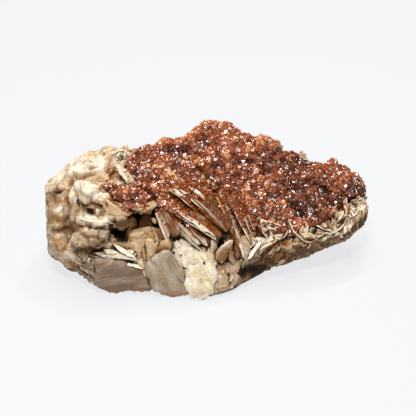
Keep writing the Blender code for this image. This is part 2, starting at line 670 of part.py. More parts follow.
draw = random.Random(7)
matrix = build_lump()
lump_surface = surface_tree(matrix)
petals = [grown_in_crystal(*crystal) for crystal in GROWN_IN.values()]
for row in PETAL_ROWS.values():
    petals += petal_row(*row, draw)
combine(matrix, petals, "UNION")
cut_base(matrix)
combine(matrix, [crust_floor(name, lump_surface, GAP) for name in CRUSTS], "DIFFERENCE")
combine(matrix, [blade(name, GAP) for name in BLADES], "DIFFERENCE")
keep_largest(matrix)

for order, name in enumerate(BLADES):
    made = blade(name)
    earlier = [blade(other, GAP) for other in BLADES[:order]]
    if earlier:
        combine(made, earlier, "DIFFERENCE")
    keep_largest(made)

for name in CRUSTS:
    made = crust(name, lump_surface, draw)
    combine(made, [blade(other, GAP) for other in BLADES], "DIFFERENCE")
    keep_largest(made)
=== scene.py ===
import math

import bpy
import numpy as np
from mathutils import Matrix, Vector, noise
from mathutils.bvhtree import BVHTree
from mathutils.kdtree import KDTree


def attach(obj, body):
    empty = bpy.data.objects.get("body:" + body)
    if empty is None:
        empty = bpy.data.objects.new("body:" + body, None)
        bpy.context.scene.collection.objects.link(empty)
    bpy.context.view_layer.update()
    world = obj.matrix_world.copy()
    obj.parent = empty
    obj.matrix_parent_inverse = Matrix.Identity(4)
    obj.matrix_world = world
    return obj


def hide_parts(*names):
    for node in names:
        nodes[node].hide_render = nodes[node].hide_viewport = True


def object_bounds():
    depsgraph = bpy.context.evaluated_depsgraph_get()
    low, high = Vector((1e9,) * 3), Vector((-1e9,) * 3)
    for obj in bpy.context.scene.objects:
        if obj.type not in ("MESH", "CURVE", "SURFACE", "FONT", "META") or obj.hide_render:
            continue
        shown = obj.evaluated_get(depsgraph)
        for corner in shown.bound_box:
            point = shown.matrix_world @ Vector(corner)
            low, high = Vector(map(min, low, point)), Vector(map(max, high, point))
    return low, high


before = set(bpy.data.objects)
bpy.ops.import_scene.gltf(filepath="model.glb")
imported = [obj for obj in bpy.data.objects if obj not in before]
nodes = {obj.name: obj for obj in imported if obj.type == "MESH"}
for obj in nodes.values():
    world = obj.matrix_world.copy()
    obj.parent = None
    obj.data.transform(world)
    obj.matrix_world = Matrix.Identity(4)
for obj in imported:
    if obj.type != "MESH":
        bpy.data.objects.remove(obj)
packed_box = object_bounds()


# The lump is barite: tabular crystals that have grown through each other into one heavy mass. Its skin is
# a patchwork of plate ends with creases between them, rounded on the left and crested on the right, and
# it is worn flat only where it rests. Sizes are in millimetres, here and in every section.
MM = 0.001
LUMP_CELL = 0.41
LUMP_KEPT = 0.8
SMOOTHING_ROUNDS = 17
PLATE_SPACING, PLATE_FLATNESS, PLATE_NEIGHBOURS = 2.7, 9.0, 9
REST_HEIGHT = 0.5
BLADE_REACH, CRUST_REACH = 2.0, 8.0
WORN_END, UNDERSIDE, CRESTED_END = (-33.0, -22.0), (6.0, 16.0), (8.0, 14.0)
LAMELLA_TURN = np.array([[0.8, 0.6, 0.0], [-0.45, 0.6, 0.66], [0.4, -0.53, 0.75]])

dice = np.random.default_rng(5)
low, high = (np.array(corner) / MM for corner in packed_box)


def mesh_of(mesh):
    """A mesh's points in millimetres, and its triangles."""
    flat = np.zeros(3 * len(mesh.vertices))
    mesh.vertices.foreach_get("co", flat)
    mesh.calc_loop_triangles()
    corners = np.zeros(3 * len(mesh.loop_triangles), int)
    mesh.loop_triangles.foreach_get("vertices", corners)
    return flat.reshape(-1, 3) / MM, corners.reshape(-1, 3)


def packed(name):
    return mesh_of(nodes[name].data)


def placed(name, data):
    made = bpy.data.objects.new(name, data)
    bpy.context.scene.collection.objects.link(made)
    return made


def remeshed(name, cell):
    """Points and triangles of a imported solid, rebuilt as an even mesh of that cell size."""
    copy = placed("copy", nodes[name].data.copy())
    step = copy.modifiers.new("even", "REMESH")
    step.mode = "VOXEL"
    step.voxel_size = cell * MM
    graph = bpy.context.evaluated_depsgraph_get()
    made = mesh_of(copy.evaluated_get(graph).to_mesh())
    bpy.data.objects.remove(copy)
    return made


def relaxed(points, triangles, rounds):
    """The points moved towards the mean of their neighbours, that many times."""
    edges = np.concatenate([triangles[:, [0, 1]], triangles[:, [1, 2]], triangles[:, [2, 0]]])
    start, end = edges.T
    neighbours = np.bincount(start, minlength=len(points))[:, None]
    for _ in range(rounds):
        total = np.stack([np.bincount(start, points[end, k], len(points)) for k in range(3)], 1)
        points = points + 0.5 * (total / neighbours - points)
    return points


def unit(vectors):
    return vectors / np.maximum(np.linalg.norm(vectors, axis=-1, keepdims=True), 1e-12)


def face_vectors(points, triangles):
    """The direction that each triangle faces, as long as twice its area."""
    a, b, c = (points[triangles[:, k]] for k in range(3))
    return np.cross(b - a, c - a)


def point_normals(points, triangles):
    """The direction that each point of a mesh faces."""
    across = face_vectors(points, triangles)
    total = np.zeros_like(points)
    for k in range(3):
        np.add.at(total, triangles[:, k], across)
    return unit(total)


def tree_of(points, triangles):
    return BVHTree.FromPolygons(points.tolist(), triangles.tolist())


def distance_to(trees, points, reach):
    """How far each point is from the nearest of some surfaces, up to reach."""
    nearest = np.full(len(points), reach)
    for tree in trees:
        found = [tree.find_nearest(p, reach)[3] for p in points.tolist()]
        nearest = np.minimum(nearest, [reach if d is None else d for d in found])
    return nearest


def ripple(points, size, seed):
    """Smooth noise from -1 to 1 at each point, with lumps about size wide; size may differ by axis."""
    places = points / np.asarray(size, float) + seed * 17.3
    return np.array([noise.noise(p) for p in places.tolist()])


def drift(points, size, seed):
    """A smoothly changing direction at each point."""
    return np.stack([ripple(points, size, seed + k) for k in range(3)], 1)


def ease(value, start, end):
    """0 below the start, 1 above the end, and a smooth rise between."""
    t = np.clip((value - start) / (end - start), 0.0, 1.0)
    return t * t * (3 - 2 * t)


def bell(value):
    """1 at zero, falling smoothly to nothing about 2 away from it."""
    return np.exp(-value ** 2)


def tangents(normals, angle):
    """Directions in the surface, turned by angle from its level line."""
    level = unit(np.cross(normals, [0.05, 0.08, 1.0]))
    other = np.cross(normals, level)
    return level * np.cos(angle)[:, None] + other * np.sin(angle)[:, None]


def plate_ends(points, normals, spacing):
    """Parts a surface among plates that stand on edge in it: each point's height and tone, which are its
    plate's, and how near it is to the crease between two plates."""
    count = int(len(points) * LUMP_CELL ** 2 / spacing ** 2)
    chosen = dice.choice(len(points), count, replace=False)
    seeds = points[chosen]
    turn = 2.5 * ripple(seeds, 15.0, 1) + dice.normal(0, 0.35, count)
    facing = tangents(normals[chosen], turn * math.pi)
    tree = KDTree(count)
    for i, seed in enumerate(seeds.tolist()):
        tree.insert(seed, i)
    tree.balance()
    near = np.array([[found[1] for found in tree.find_n(p, PLATE_NEIGHBOURS)] for p in points.tolist()])
    away = points[:, None, :] - seeds[near]
    across = np.einsum("ijk,ijk->ij", away, facing[near])
    gap = np.sqrt((away ** 2).sum(2) + PLATE_FLATNESS * across ** 2)
    order = np.argsort(gap, axis=1)
    rows = np.arange(len(points))
    first, second = order[:, 0], order[:, 1]
    own = near[rows, first]
    rise = dice.uniform(-1, 1, count)[own]
    tilt = dice.normal(0, 0.12, count)[own] * across[rows, first]
    crease = 1 - ease(gap[rows, second] - gap[rows, first], 0.0, 1.0)
    return rise + tilt, dice.uniform(0, 1, count)[own], crease


# The view that the specimen was seen in: a 416-pixel picture, 0.32 mm a pixel, from 30 degrees above
PIXEL = 0.32
PICTURE_MIDDLE = 208
LENS, SENSOR = 150.0, 36.0
VIEW_TILT = math.radians(30)
AIM = np.array([0, 0, 18.0])
TO_CAMERA = np.array([0, -math.cos(VIEW_TILT), math.sin(VIEW_TILT)])
PICTURE_UP = np.array([0, math.sin(VIEW_TILT), math.cos(VIEW_TILT)])
VIEW_DISTANCE = PICTURE_MIDDLE * PIXEL / (SENSOR / 2 / LENS)
EYE = AIM + VIEW_DISTANCE * TO_CAMERA


def sight(pixel):
    """The direction from the camera through a pixel of the picture."""
    right, up = (pixel[0] - PICTURE_MIDDLE) * PIXEL, (PICTURE_MIDDLE - pixel[1]) * PIXEL
    return unit(np.array([right, 0, 0]) + up * PICTURE_UP - VIEW_DISTANCE * TO_CAMERA)


def on_surface(tree, pixels):
    """Where the sight lines through pixels of the picture meet a surface."""
    hits = [tree.ray_cast(EYE.tolist(), sight(pixel).tolist())[0] for pixel in pixels]
    return np.array([hit for hit in hits if hit is not None])


def from_line(points, line):
    """How far each point is from a line of straight runs."""
    nearest = np.full(len(points), np.inf)
    for a, b in zip(line[:-1], line[1:]):
        run = b - a
        t = np.clip((points - a) @ run / max(run @ run, 1e-9), 0, 1)
        nearest = np.minimum(nearest, np.linalg.norm(points - a - t[:, None] * run, axis=1))
    return nearest


def raised(tree, points, forms):
    """The height at each point of forms on a surface: half width, height, and a line of picture pixels."""
    total = np.zeros(len(points))
    for half_width, tall, pixels in forms:
        line = on_surface(tree, pixels)
        if len(line) > 1:
            total += tall * bell(from_line(points, line) / half_width)
    return total


def near_pixels(tree, points, places):
    """From 0 to 1, how near each point is to lines of picture pixels on a surface, each with its reach."""
    near = np.zeros(len(points))
    for reach, pixels in places:
        line = on_surface(tree, pixels)
        if len(line) > 1:
            near = np.maximum(near, np.exp(-(from_line(points, line) / reach) ** 4))
    return near


# Forms of the skin: half width, height, and the line of picture pixels that each follows
FORMS = {
    "column_groove": (1.1, -1.3, [(71, 184), (68, 195), (70, 207), (66, 219), (69, 231), (74, 243)]),
    "column_slit": (0.5, -1.3, [(54, 190), (61, 192)]),
    "column_facet": (1.8, -0.8, [(53, 199), (59, 204), (65, 202)]),
    "column_layer": (0.5, -0.8, [(50, 211), (56, 215), (60, 213)]),
    "column_layer_low": (0.5, -0.7, [(47, 219), (53, 221)]),
    "column_shelf": (0.6, 0.8, [(50, 225), (55, 227), (61, 224)]),
    "column_undercut": (0.8, -1.5, [(54, 231), (59, 229), (65, 227)]),
    "foot_lobe": (3.0, 0.9, [(58, 240), (64, 250)]),
    "foot_crease": (0.6, -1.0, [(77, 246), (78, 256), (84, 266)]),
    "upper_lobe": (2.6, 1.1, [(85, 184), (92, 190), (90, 196)]),
    "upper_lobe_crease": (0.7, -1.5, [(76, 193), (79, 200), (84, 205), (92, 204), (99, 206)]),
    "slit": (0.5, -1.4, [(78, 200), (78.5, 205)]),
    "dale": (2.2, -0.9, [(73, 179), (82, 175), (92, 173)]),
    "eye": (0.75, -1.9, [(87.5, 211), (91.5, 212.5)]),
    "grey_facet": (1.4, -1.0, [(100, 205), (102, 215)]),
    "lip": (0.7, 1.2, [(77, 216), (84, 220), (93, 222), (99, 224), (105, 221), (110, 221)]),
    "lip_undercut": (0.7, -1.5, [(79, 226), (88, 225), (94, 228), (104, 227)]),
    "belly": (1.7, 0.9, [(82, 234), (90, 231), (97, 235), (104, 234)]),
    "belly_ridge": (0.5, 0.9, [(79, 241), (84, 243), (90, 245), (97, 243), (102, 240)]),
    "belly_undercut": (0.7, -1.4, [(77, 246), (82, 250), (90, 248), (98, 252), (106, 250)]),
    "red_pit": (1.0, -1.6, [(91, 253), (99, 253)]),
    "crown_ridge": (0.8, 0.8, [(66, 180), (72, 172), (84, 167), (98, 163)]),
    "crown_crease": (0.6, -0.8, [(76, 170), (90, 168), (102, 168)]),
    "knob": (1.8, 0.8, [(109, 154), (114, 155)]),
    "book_hollow": (1.1, -1.8, [(110, 163), (110, 174)]),
    "brown_hollow": (1.5, -2.6, [(249, 225), (256, 228), (262, 233)]),
    "right_hole": (1.5, -2.6, [(307, 229), (310, 235)]),
    "end_hole": (1.1, -2.0, [(349, 203), (354, 204)]),
    "under_pocket": (1.5, -1.4, [(246, 272), (256, 270)]),
}
# Hollows that hold dark clay and painted shade, as a reach about picture pixels
DARK_PLACES = [
    (2.6, [(243, 272), (251, 269), (260, 272)]), (1.6, [(254, 276), (264, 267)]),
    (1.8, [(249, 225), (255, 229), (261, 234)]), (2.4, [(115, 231), (120, 236), (124, 240)]),
    (2.2, [(152, 214), (157, 219), (160, 225)]), (1.8, [(131, 212), (138, 216)]),
    (1.3, [(307, 229), (310, 235)]), (1.0, [(349, 203), (354, 204)]), (0.4, [(78, 200), (78.5, 205)]),
    (1.0, [(84, 271), (88, 273)]), (1.6, [(219, 238), (222, 241), (220, 246)]),
    (0.45, [(57, 191), (62, 191.5)]), (0.9, [(100, 256), (106, 258)]),
    (0.6, [(88.5, 212), (91.5, 213.5)]),
]
# Where grey clay films the barite, with painted shade there too, where iron has stained it, where it is
# pale, and where it flakes
GREY_AND_SHADED_PLACES = [
    (2.2, [(72, 178), (82, 177), (92, 175)]), (2.0, [(100, 206), (102, 217)]),
    (3.4, [(53, 186), (54, 205), (54, 230)]), (2.4, [(64, 190), (66, 210), (65, 232)]),
    (3.0, [(80, 229), (92, 232), (106, 234), (98, 240), (86, 240)]),
    (3.0, [(226, 262), (236, 270), (232, 284)]), (2.6, [(246, 262), (258, 264), (272, 256)]),
    (2.0, [(84, 250), (92, 256), (98, 264)]),
]
RUSTY_PLACES = [
    (1.6, [(104, 151), (112, 155)]), (1.6, [(126, 149), (140, 151)]), (1.6, [(109, 160), (111, 177)]),
    (1.6, [(58, 254), (66, 260), (74, 265)]), (1.2, [(93, 252), (99, 254)]),
    (0.9, [(54, 199), (63, 203)]), (0.9, [(55, 216), (62, 219)]), (2.2, [(56, 237), (66, 248)]),
    (1.6, [(214, 268), (222, 270), (233, 271)]), (1.5, [(150, 284), (162, 288)]),
    (1.4, [(100, 284), (108, 287)]), (1.2, [(80, 179), (86, 182)]), (1.5, [(272, 224), (281, 230)]),
    (1.3, [(303, 236), (311, 240)]), (1.3, [(338, 214), (346, 209)]), (1.2, [(352, 196), (360, 202)]),
]
PALE_PLACES = [
    (1.8, [(55, 253), (64, 254), (72, 257)]), (2.6, [(72, 172), (84, 168), (98, 165), (110, 160)]),
    (2.0, [(112, 182), (120, 186)]), (2.6, [(176, 242), (190, 245), (204, 244), (212, 250)]),
    (2.4, [(80, 184), (90, 190), (96, 194)]), (2.0, [(82, 221), (96, 223), (108, 221)]),
]
FLAKY_PLACES = [
    (3.4, [(226, 260), (238, 266), (234, 282)]), (2.4, [(84, 264), (94, 276), (100, 284)]),
    (2.6, [(80, 258), (92, 268), (100, 280)]), (2.4, [(116, 156), (124, 164), (130, 174)]),
]

lump, lump_faces = remeshed("barite_matrix", LUMP_CELL)
smooth_lump = relaxed(lump, lump_faces, SMOOTHING_ROUNDS)
facing = point_normals(smooth_lump, lump_faces)
lump_tree = tree_of(smooth_lump, lump_faces)
neighbours = [n for n in nodes if n != "barite_matrix"]
blade_names = [n for n in neighbours if not n.startswith("vanadinite")]
blade_trees = [tree_of(*packed(n)) for n in blade_names]
crust_trees = [tree_of(*packed(n)) for n in neighbours if n.startswith("vanadinite")]
from_blades = distance_to(blade_trees, smooth_lump, BLADE_REACH)
from_crust = distance_to(crust_trees, smooth_lump, CRUST_REACH)

# The worn left end, the underside at the right and the rim below the crust, each as a share from 0 to 1
worn = 1 - ease(smooth_lump[:, 0], *WORN_END)
under = ease(smooth_lump[:, 0], *UNDERSIDE) * (1 - ease(facing[:, 2], 0.0, 0.5))
rim = bell((from_crust - 2.2) / 2.0) * ease(smooth_lump[:, 0], *CRESTED_END)

# Relief of the skin: plate ends, lobes, pleats, cleavage sheets, frills at the rim, and pits underneath
rise, plate_tone, crease = plate_ends(smooth_lump, facing, PLATE_SPACING)
lobes = np.abs(ripple(smooth_lump, 7.0, 2))
pleats = np.abs(ripple(smooth_lump @ LAMELLA_TURN, (2.2, 6.5, 6.5), 3))
fold = bell(lobes / 0.07) + 0.6 * bell(pleats / 0.09)
swirl = smooth_lump + 2.5 * drift(smooth_lump, 9.0, 34)
lamella = 1 - 2.2 * np.abs(ripple(swirl @ LAMELLA_TURN, (1.7, 5.0, 4.0), 18))
frill = bell(ripple(swirl, (2.6, 2.6, 3.4), 26) / 0.13)
vermicule = bell(ripple(swirl, 1.9, 35) / 0.14)
height = (0.42 - 0.24 * worn) * (1 - under) * (rise - 0.6 * crease)
height += (0.3 + 0.6 * worn) * (1 - 0.6 * under) * (2 * lobes - 0.4)
height += (0.25 + 0.2 * worn) * (1 - 0.6 * under) * (2 * pleats - 0.4) + 0.22 * ripple(smooth_lump, 1.3, 4)
height += (0.34 + 0.22 * worn) * (1 - 0.7 * under) * lamella + 0.12 * ripple(smooth_lump, 0.9, 41)
height += rim * (1.7 * frill - 0.6) + 0.45 * under * (1 - rim) * vermicule
carved = raised(lump_tree, smooth_lump + 1.1 * drift(smooth_lump, 3.5, 31), FORMS.values())
height = (height + carved) * ease(from_blades, 0.2, 1.6) * ease(smooth_lump[:, 2], REST_HEIGHT, 3.0)
lump = smooth_lump + facing * height[:, None]
lump[:, 2] = np.where(smooth_lump[:, 2] < REST_HEIGHT, 0.0, np.maximum(lump[:, 2], 0.0))


def eased_within(points, margin=1.2):
    """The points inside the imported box, squeezed together near its sides and top so none is cut flat."""
    for side, bound in ((1, np.array([*low[:2], -np.inf])), (-1, high)):
        room = np.maximum(side * (points - bound), -5)
        close = room < margin
        squeezed = bound + side * margin * np.exp(np.where(close, room, 0) / margin - 1)
        points = np.where(close, squeezed, points)
    return points


def paint(text):
    """A colour written as sRGB hex, as the linear values that a shader takes."""
    parts = [int(text[i:i + 2], 16) / 255 for i in (1, 3, 5)]
    return [c / 12.92 if c <= 0.04045 else ((c + 0.055) / 1.055) ** 2.4 for c in parts] + [1.0]


def add(tree, kind, inputs, **settings):
    """Adds a shader node; an input is a value, or another node's output to link."""
    made = tree.nodes.new("ShaderNode" + kind)
    for name, value in settings.items():
        setattr(made, name, value)
    for socket, value in inputs.items():
        if isinstance(value, bpy.types.NodeSocket):
            tree.links.new(value, made.inputs[socket])
        else:
            made.inputs[socket].default_value = value
    return made


def mineral(name, patterns, attributes, grain, roughness, ior=1.5, gloss=0.5):
    """A mineral with a grain of dents of some size, detail, depth and strength. Patterns are noise: size,
    detail, and the values that show none and all of it. Gives the material, its tree, and those by name."""
    made = bpy.data.materials.new(name)
    made.use_nodes = True
    tree = made.node_tree
    shader = tree.nodes["Principled BSDF"]
    place = add(tree, "TexCoord", {}).outputs["Object"]
    size, detail, deep, strength = grain
    rough = add(tree, "TexNoise", {"Vector": place, "Scale": 1 / (size * MM), "Detail": detail})
    dents = add(tree, "Bump", {"Height": rough.outputs["Fac"], "Distance": deep * MM, "Strength": strength})
    tree.links.new(dents.outputs["Normal"], shader.inputs["Normal"])
    shares = {}
    for pattern, (size, detail, none, full) in patterns.items():
        cloud = add(tree, "TexNoise", {"Vector": place, "Scale": 1 / (size * MM), "Detail": detail})
        spread = {"Value": cloud.outputs["Fac"], "From Min": none, "From Max": full}
        shares[pattern] = add(tree, "MapRange", spread).outputs[0]
    for field in attributes:
        shares[field] = add(tree, "Attribute", {}, attribute_name=field).outputs["Fac"]
    for socket, value in (("Roughness", roughness), ("IOR", ior), ("Specular IOR Level", gloss)):
        shader.inputs[socket].default_value = value
    return made, tree, shares


def coloured(tree, first, layers):
    """Lays colours over a first one, each by its share, and gives the last to the shader."""
    base = paint(first)
    for share, colour in layers:
        mix = add(tree, "Mix", {"Factor": share, "A": base, "B": paint(colour)}, data_type="RGBA")
        base = mix.outputs["Result"]
    tree.links.new(base, tree.nodes["Principled BSDF"].inputs["Base Color"])


def barite(name, clean, body, dirt_and_shade, iron, roughness, gloss=0.5, recess=4.0, spread=0.36, grit=0.35,
           cleft_shade="#33190a"):
    """Barite as it grows: white where clean, clay and iron stain where asked, painted shade in creases and
    hollows.
    """
    patterns = {"cloud": (5.0, 4.0, 0.4, 0.62), "mottle": (0.9, 3.0, 0.48, 0.62),
                "speck": (1.4, 3.0, 0.3, 0.65), "blot": (2.2, 5.0, spread, spread + 0.22)}
    made, tree, shares = mineral(name, patterns, ("edge", "tone", "stain", "dark"), (0.8, 5.0, grit, 1.0),
                                 roughness, 1.64, gloss)
    # Painted shade: ambient occlusion darkens recesses, and the deepest of them, with the dark field, go to
    # the cleft colour
    open_sky = add(tree, "AmbientOcclusion", {"Distance": recess * MM}, samples=8).outputs["AO"]
    recess_shade = add(tree, "MapRange", {"Value": open_sky, "From Min": 0.88, "From Max": 0.35}).outputs[0]
    deep = add(tree, "MapRange", {"Value": open_sky, "From Min": 0.42, "From Max": 0.1}).outputs[0]
    mottle = add(tree, "Math", {0: shares["mottle"], 1: 0.6}, operation="MULTIPLY").outputs[0]
    soil_and_shade = add(tree, "Math", {0: recess_shade, 1: shares["speck"]}, operation="MULTIPLY").outputs[0]
    soil_and_shade = add(tree, "Math", {0: soil_and_shade, 1: shares["tone"]}, operation="ADD", use_clamp=True).outputs[0]
    rust = add(tree, "Math", {0: shares["stain"], 1: shares["blot"]}, operation="MULTIPLY").outputs[0]
    deep = add(tree, "Math", {0: deep, 1: shares["dark"]}, operation="MAXIMUM").outputs[0]
    # The edge field paints free edges and ridges white: clean barite, with a painted highlight
    coloured(tree, body, [(shares["cloud"], clean), (mottle, body), (shares["edge"], clean), (soil_and_shade, dirt_and_shade),
                          (rust, iron), (deep, cleft_shade)])
    return made


# Massive barite, dull from weathering, so it scatters light and shows no clear reflection
weathered = barite("weathered_barite", "#fdf4e0", "#dcbd90", "#7c6246", "#b0712f", 0.62,
                   gloss=0.25, grit=0.7)


def show(name, points, triangles, finish, slot, stands_for=(), crisp=None, **fields):
    """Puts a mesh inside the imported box, with its shading fields from 0 to 1; crisp is the sharpest angle
    that still shades smooth."""
    mesh = bpy.data.meshes.new(name)
    mesh.from_pydata((np.clip(points, low, high) * MM).tolist(), [], triangles.tolist())
    mesh.materials.append(finish)
    for field, values in fields.items():
        layer = mesh.attributes.new(field, "FLOAT", "POINT")
        layer.data.foreach_set("value", np.clip(values, 0, 1).astype(np.float32))
    made = placed(name, mesh)
    if crisp is None:
        mesh.shade_flat()
    else:
        mesh.shade_smooth()
        mesh.set_sharp_from_angle(angle=math.radians(crisp))
    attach(made, "root")
    if stands_for:
        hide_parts(*stands_for)
    return made


# Shading of the skin: rust by the crust and in creases, clay and painted shade in folds, hollows and
# below, painted shade on faces that turn down, white on free edges with a painted highlight
patchy = 0.6 + 0.8 * ripple(smooth_lump, 4.5, 27)
pale = near_pixels(lump_tree, smooth_lump, PALE_PLACES)
sunk = ease(-carved, 0.4, 1.5)
stain = 0.55 * (1 - ease(from_crust, 0.5, 5.0)) + 0.15 * crease + 0.3 * sunk + 0.15 * fold
stain = np.clip(stain + 0.75 * rim * (0.6 - frill) + 0.3 * under * (1 - rim), 0, 1)
lump_stain = np.clip(stain + 0.6 * near_pixels(lump_tree, smooth_lump, RUSTY_PLACES), 0, 1)

# Tone is clay, random grain and painted shade: darker in creases, folds, carved hollows, between the rim's
# frills and on faces that turn down
tone = 0.10 * plate_tone + 0.2 * crease * (1 - under) * (1 - 0.5 * worn) + 0.45 * worn * fold
tone += 0.45 * sunk + 0.7 * rim * (1 - frill) + 0.44 * (1 - ease(facing[:, 2], -0.3, 0.7))
tone = np.clip(tone, 0, 1) + 0.5 * patchy * near_pixels(lump_tree, smooth_lump, GREY_AND_SHADED_PLACES)
tone = np.clip(tone + 0.2 * ease(ripple(smooth_lump, 8.0, 28), 0.05, 0.5), 0, 1) * (1 - 0.7 * pale)
# Below the right end it is darker but for pale worm lines: the underside's brown-grey and painted shade
lump_tone = tone * (1 - under) + np.maximum(tone, 1.0 - 1.1 * vermicule * patchy) * under

# Ridges of the cleavage sheets and free edges painted white: clean barite, partly a painted highlight
edge = np.clip(0.4 * rise + 1.1 * ease(lamella, 0.55, 1.0), 0, 1) * (1 - crease) * (1 - 0.7 * under)
edge = np.maximum(edge * (1 - 0.8 * rim), 1.1 * rim * frill)

# Painted shade: hollows, holes, carved pits, the underside and the rim's down-turned faces go dark, with
# the underside's own dark brown
hollowed = near_pixels(lump_tree, smooth_lump, DARK_PLACES)
lump_dark_and_shade = np.max([hollowed, 0.35 * ease(-carved, 0.9, 1.8),
                    0.7 * under * (1 - rim) * (1 - 0.75 * vermicule),
                    0.6 * rim * (1 - frill) * (1 - ease(facing[:, 2], -0.2, 0.6))], axis=0)

lump = np.clip(eased_within(lump), low, high)
barite_lump = show("barite_lump", lump, lump_faces, weathered, "barite_rock", ["barite_matrix"], 50,
                   stain=lump_stain, tone=lump_tone, edge=np.maximum(edge, 0.8 * pale), dark=lump_dark_and_shade)
# The skin keeps its form with a fifth fewer triangles
fewer = barite_lump.modifiers.new("fewer", "DECIMATE")
fewer.ratio = LUMP_KEPT


# Small crests stand on the lump where its crystals' thin ends broke free: curved walls of barite, a few
# millimetres long, about one thick at the root and a fifth of that at the free edge. They crowd the rims
# and the flaky places.
CREST_COUNT = 300
CREST_COLUMNS, CREST_ROWS = 9, 3
CREST_ROOT = 0.8


def closed_grid(index):
    """Triangles of a thin closed body. Its two faces are one grid of points, the second after the first."""
    total = index.size
    a, b, c, d = (part.ravel() for part in (index[:-1, :-1], index[1:, :-1], index[1:, 1:], index[:-1, 1:]))
    top = np.concatenate([np.stack([a, b, c], 1), np.stack([a, c, d], 1)])
    border = np.concatenate([index[:, 0], index[-1, 1:], index[-2::-1, -1], index[0, -2:0:-1]])
    after = np.roll(border, -1)
    wall = np.concatenate([np.stack([border, border + total, after + total], 1),
                           np.stack([border, after + total, after], 1)])
    return np.concatenate([top, top[:, ::-1] + total, wall])


def crests(feet, up, along, length, tall, thick, curve, lean):
    """Thin curved walls, one on each foot, as one mesh with a field that is 1 at the free edges."""
    across = np.cross(up, along)
    s = np.linspace(-1, 1, CREST_COLUMNS + 1)
    t = np.linspace(0, 1, CREST_ROWS + 1)
    s, t = (v.ravel() for v in np.meshgrid(s, t, indexing="ij"))
    ragged = np.clip(1 + 0.3 * dice.normal(size=(len(feet), CREST_COLUMNS + 1)), 0.4, 1.5)
    peak = s + dice.uniform(-0.5, 0.5, len(feet))[:, None] * (1 - s ** 2)
    top = tall[:, None] * np.repeat(ragged, CREST_ROWS + 1, 1) * (1 - 0.9 * np.abs(peak) ** 1.4)
    rise = -CREST_ROOT + t * (top + CREST_ROOT)
    reach = s * length[:, None] / 2 * (1 + 0.25 * t)
    bend = curve[:, None] * length[:, None] * (s ** 2 - 0.3) + lean[:, None] * np.maximum(rise, 0) ** 1.3
    half = (0.1 + (1.0 - t) * thick[:, None]) * (1 - 0.5 * s ** 4)
    middle = feet[:, None] + rise[..., None] * up[:, None] + reach[..., None] * along[:, None]
    sides = [middle + (bend + side * half)[..., None] * across[:, None] for side in (1, -1)]
    points = np.concatenate(sides, 1).reshape(-1, 3)
    one = closed_grid(np.arange(len(s)).reshape(CREST_COLUMNS + 1, CREST_ROWS + 1))
    triangles = (one[None] + 2 * len(s) * np.arange(len(feet))[:, None, None]).reshape(-1, 3)
    free = np.tile(np.tile(np.maximum(t ** 3, s ** 6), 2), len(feet))
    return points, triangles, free


lump_facing = point_normals(lump, lump_faces)
flaky = near_pixels(lump_tree, smooth_lump, FLAKY_PLACES)
back_rim = bell((from_crust - 2.5) / 2.2) * (smooth_lump[:, 1] > 8)
room = ease(smooth_lump[:, 2], 1.5, 4.0) * ease(from_blades, 0.6, 1.9) * ease(from_crust, 0.5, 1.0)
crowd = 0.7 * rim * ease(facing[:, 2], 0.05, 0.5) + 0.5 * back_rim + 0.06 * (1 - worn) + 1.1 * flaky
crowd = crowd * room * (1 - 0.9 * lump_dark_and_shade)
stood = dice.choice(len(lump), CREST_COUNT, replace=False, p=crowd / crowd.sum())
at_rim, below = rim[stood] > 0.3, under[stood] > 0.5
turn = 1.6 * ripple(smooth_lump[stood], 11.0, 13) + dice.normal(0, 0.2, CREST_COUNT)
along = tangents(lump_facing[stood], math.pi * turn)
size = np.where(at_rim, 1.05, np.where(below, 0.6, 0.8))
tall = np.where(at_rim, 0.85, 0.6) * size * dice.uniform(0.5, 1.4, CREST_COUNT)
lifted = unit(lump_facing[stood] + (0.6 * rim[stood])[:, None] * np.array([0, -0.2, 1.0]))
along = unit(along - lifted * np.einsum("ij,ij->i", along, lifted)[:, None])
curve = dice.uniform(0.0, 0.18, CREST_COUNT) * dice.choice([-1, 1], CREST_COUNT)
length, thick = size * dice.uniform(2.2, 4.4, CREST_COUNT), dice.uniform(0.35, 0.7, CREST_COUNT)
lean = dice.normal(0, 0.12 + 0.5 * flaky[stood], CREST_COUNT)
points, triangles, free_edge = crests(lump[stood], lifted, along, length, tall, thick, curve, lean)
per_crest = len(points) // CREST_COUNT
stain = np.repeat(np.clip(0.7 * lump_stain[stood] + 0.35 * at_rim, 0, 1), per_crest) * (1 - 0.8 * free_edge)
show("barite_crests", points, triangles, weathered, "barite_rock", crisp=50, stain=stain,
     tone=np.repeat((0.6 - 0.35 * at_rim) * lump_tone[stood], per_crest), edge=free_edge)


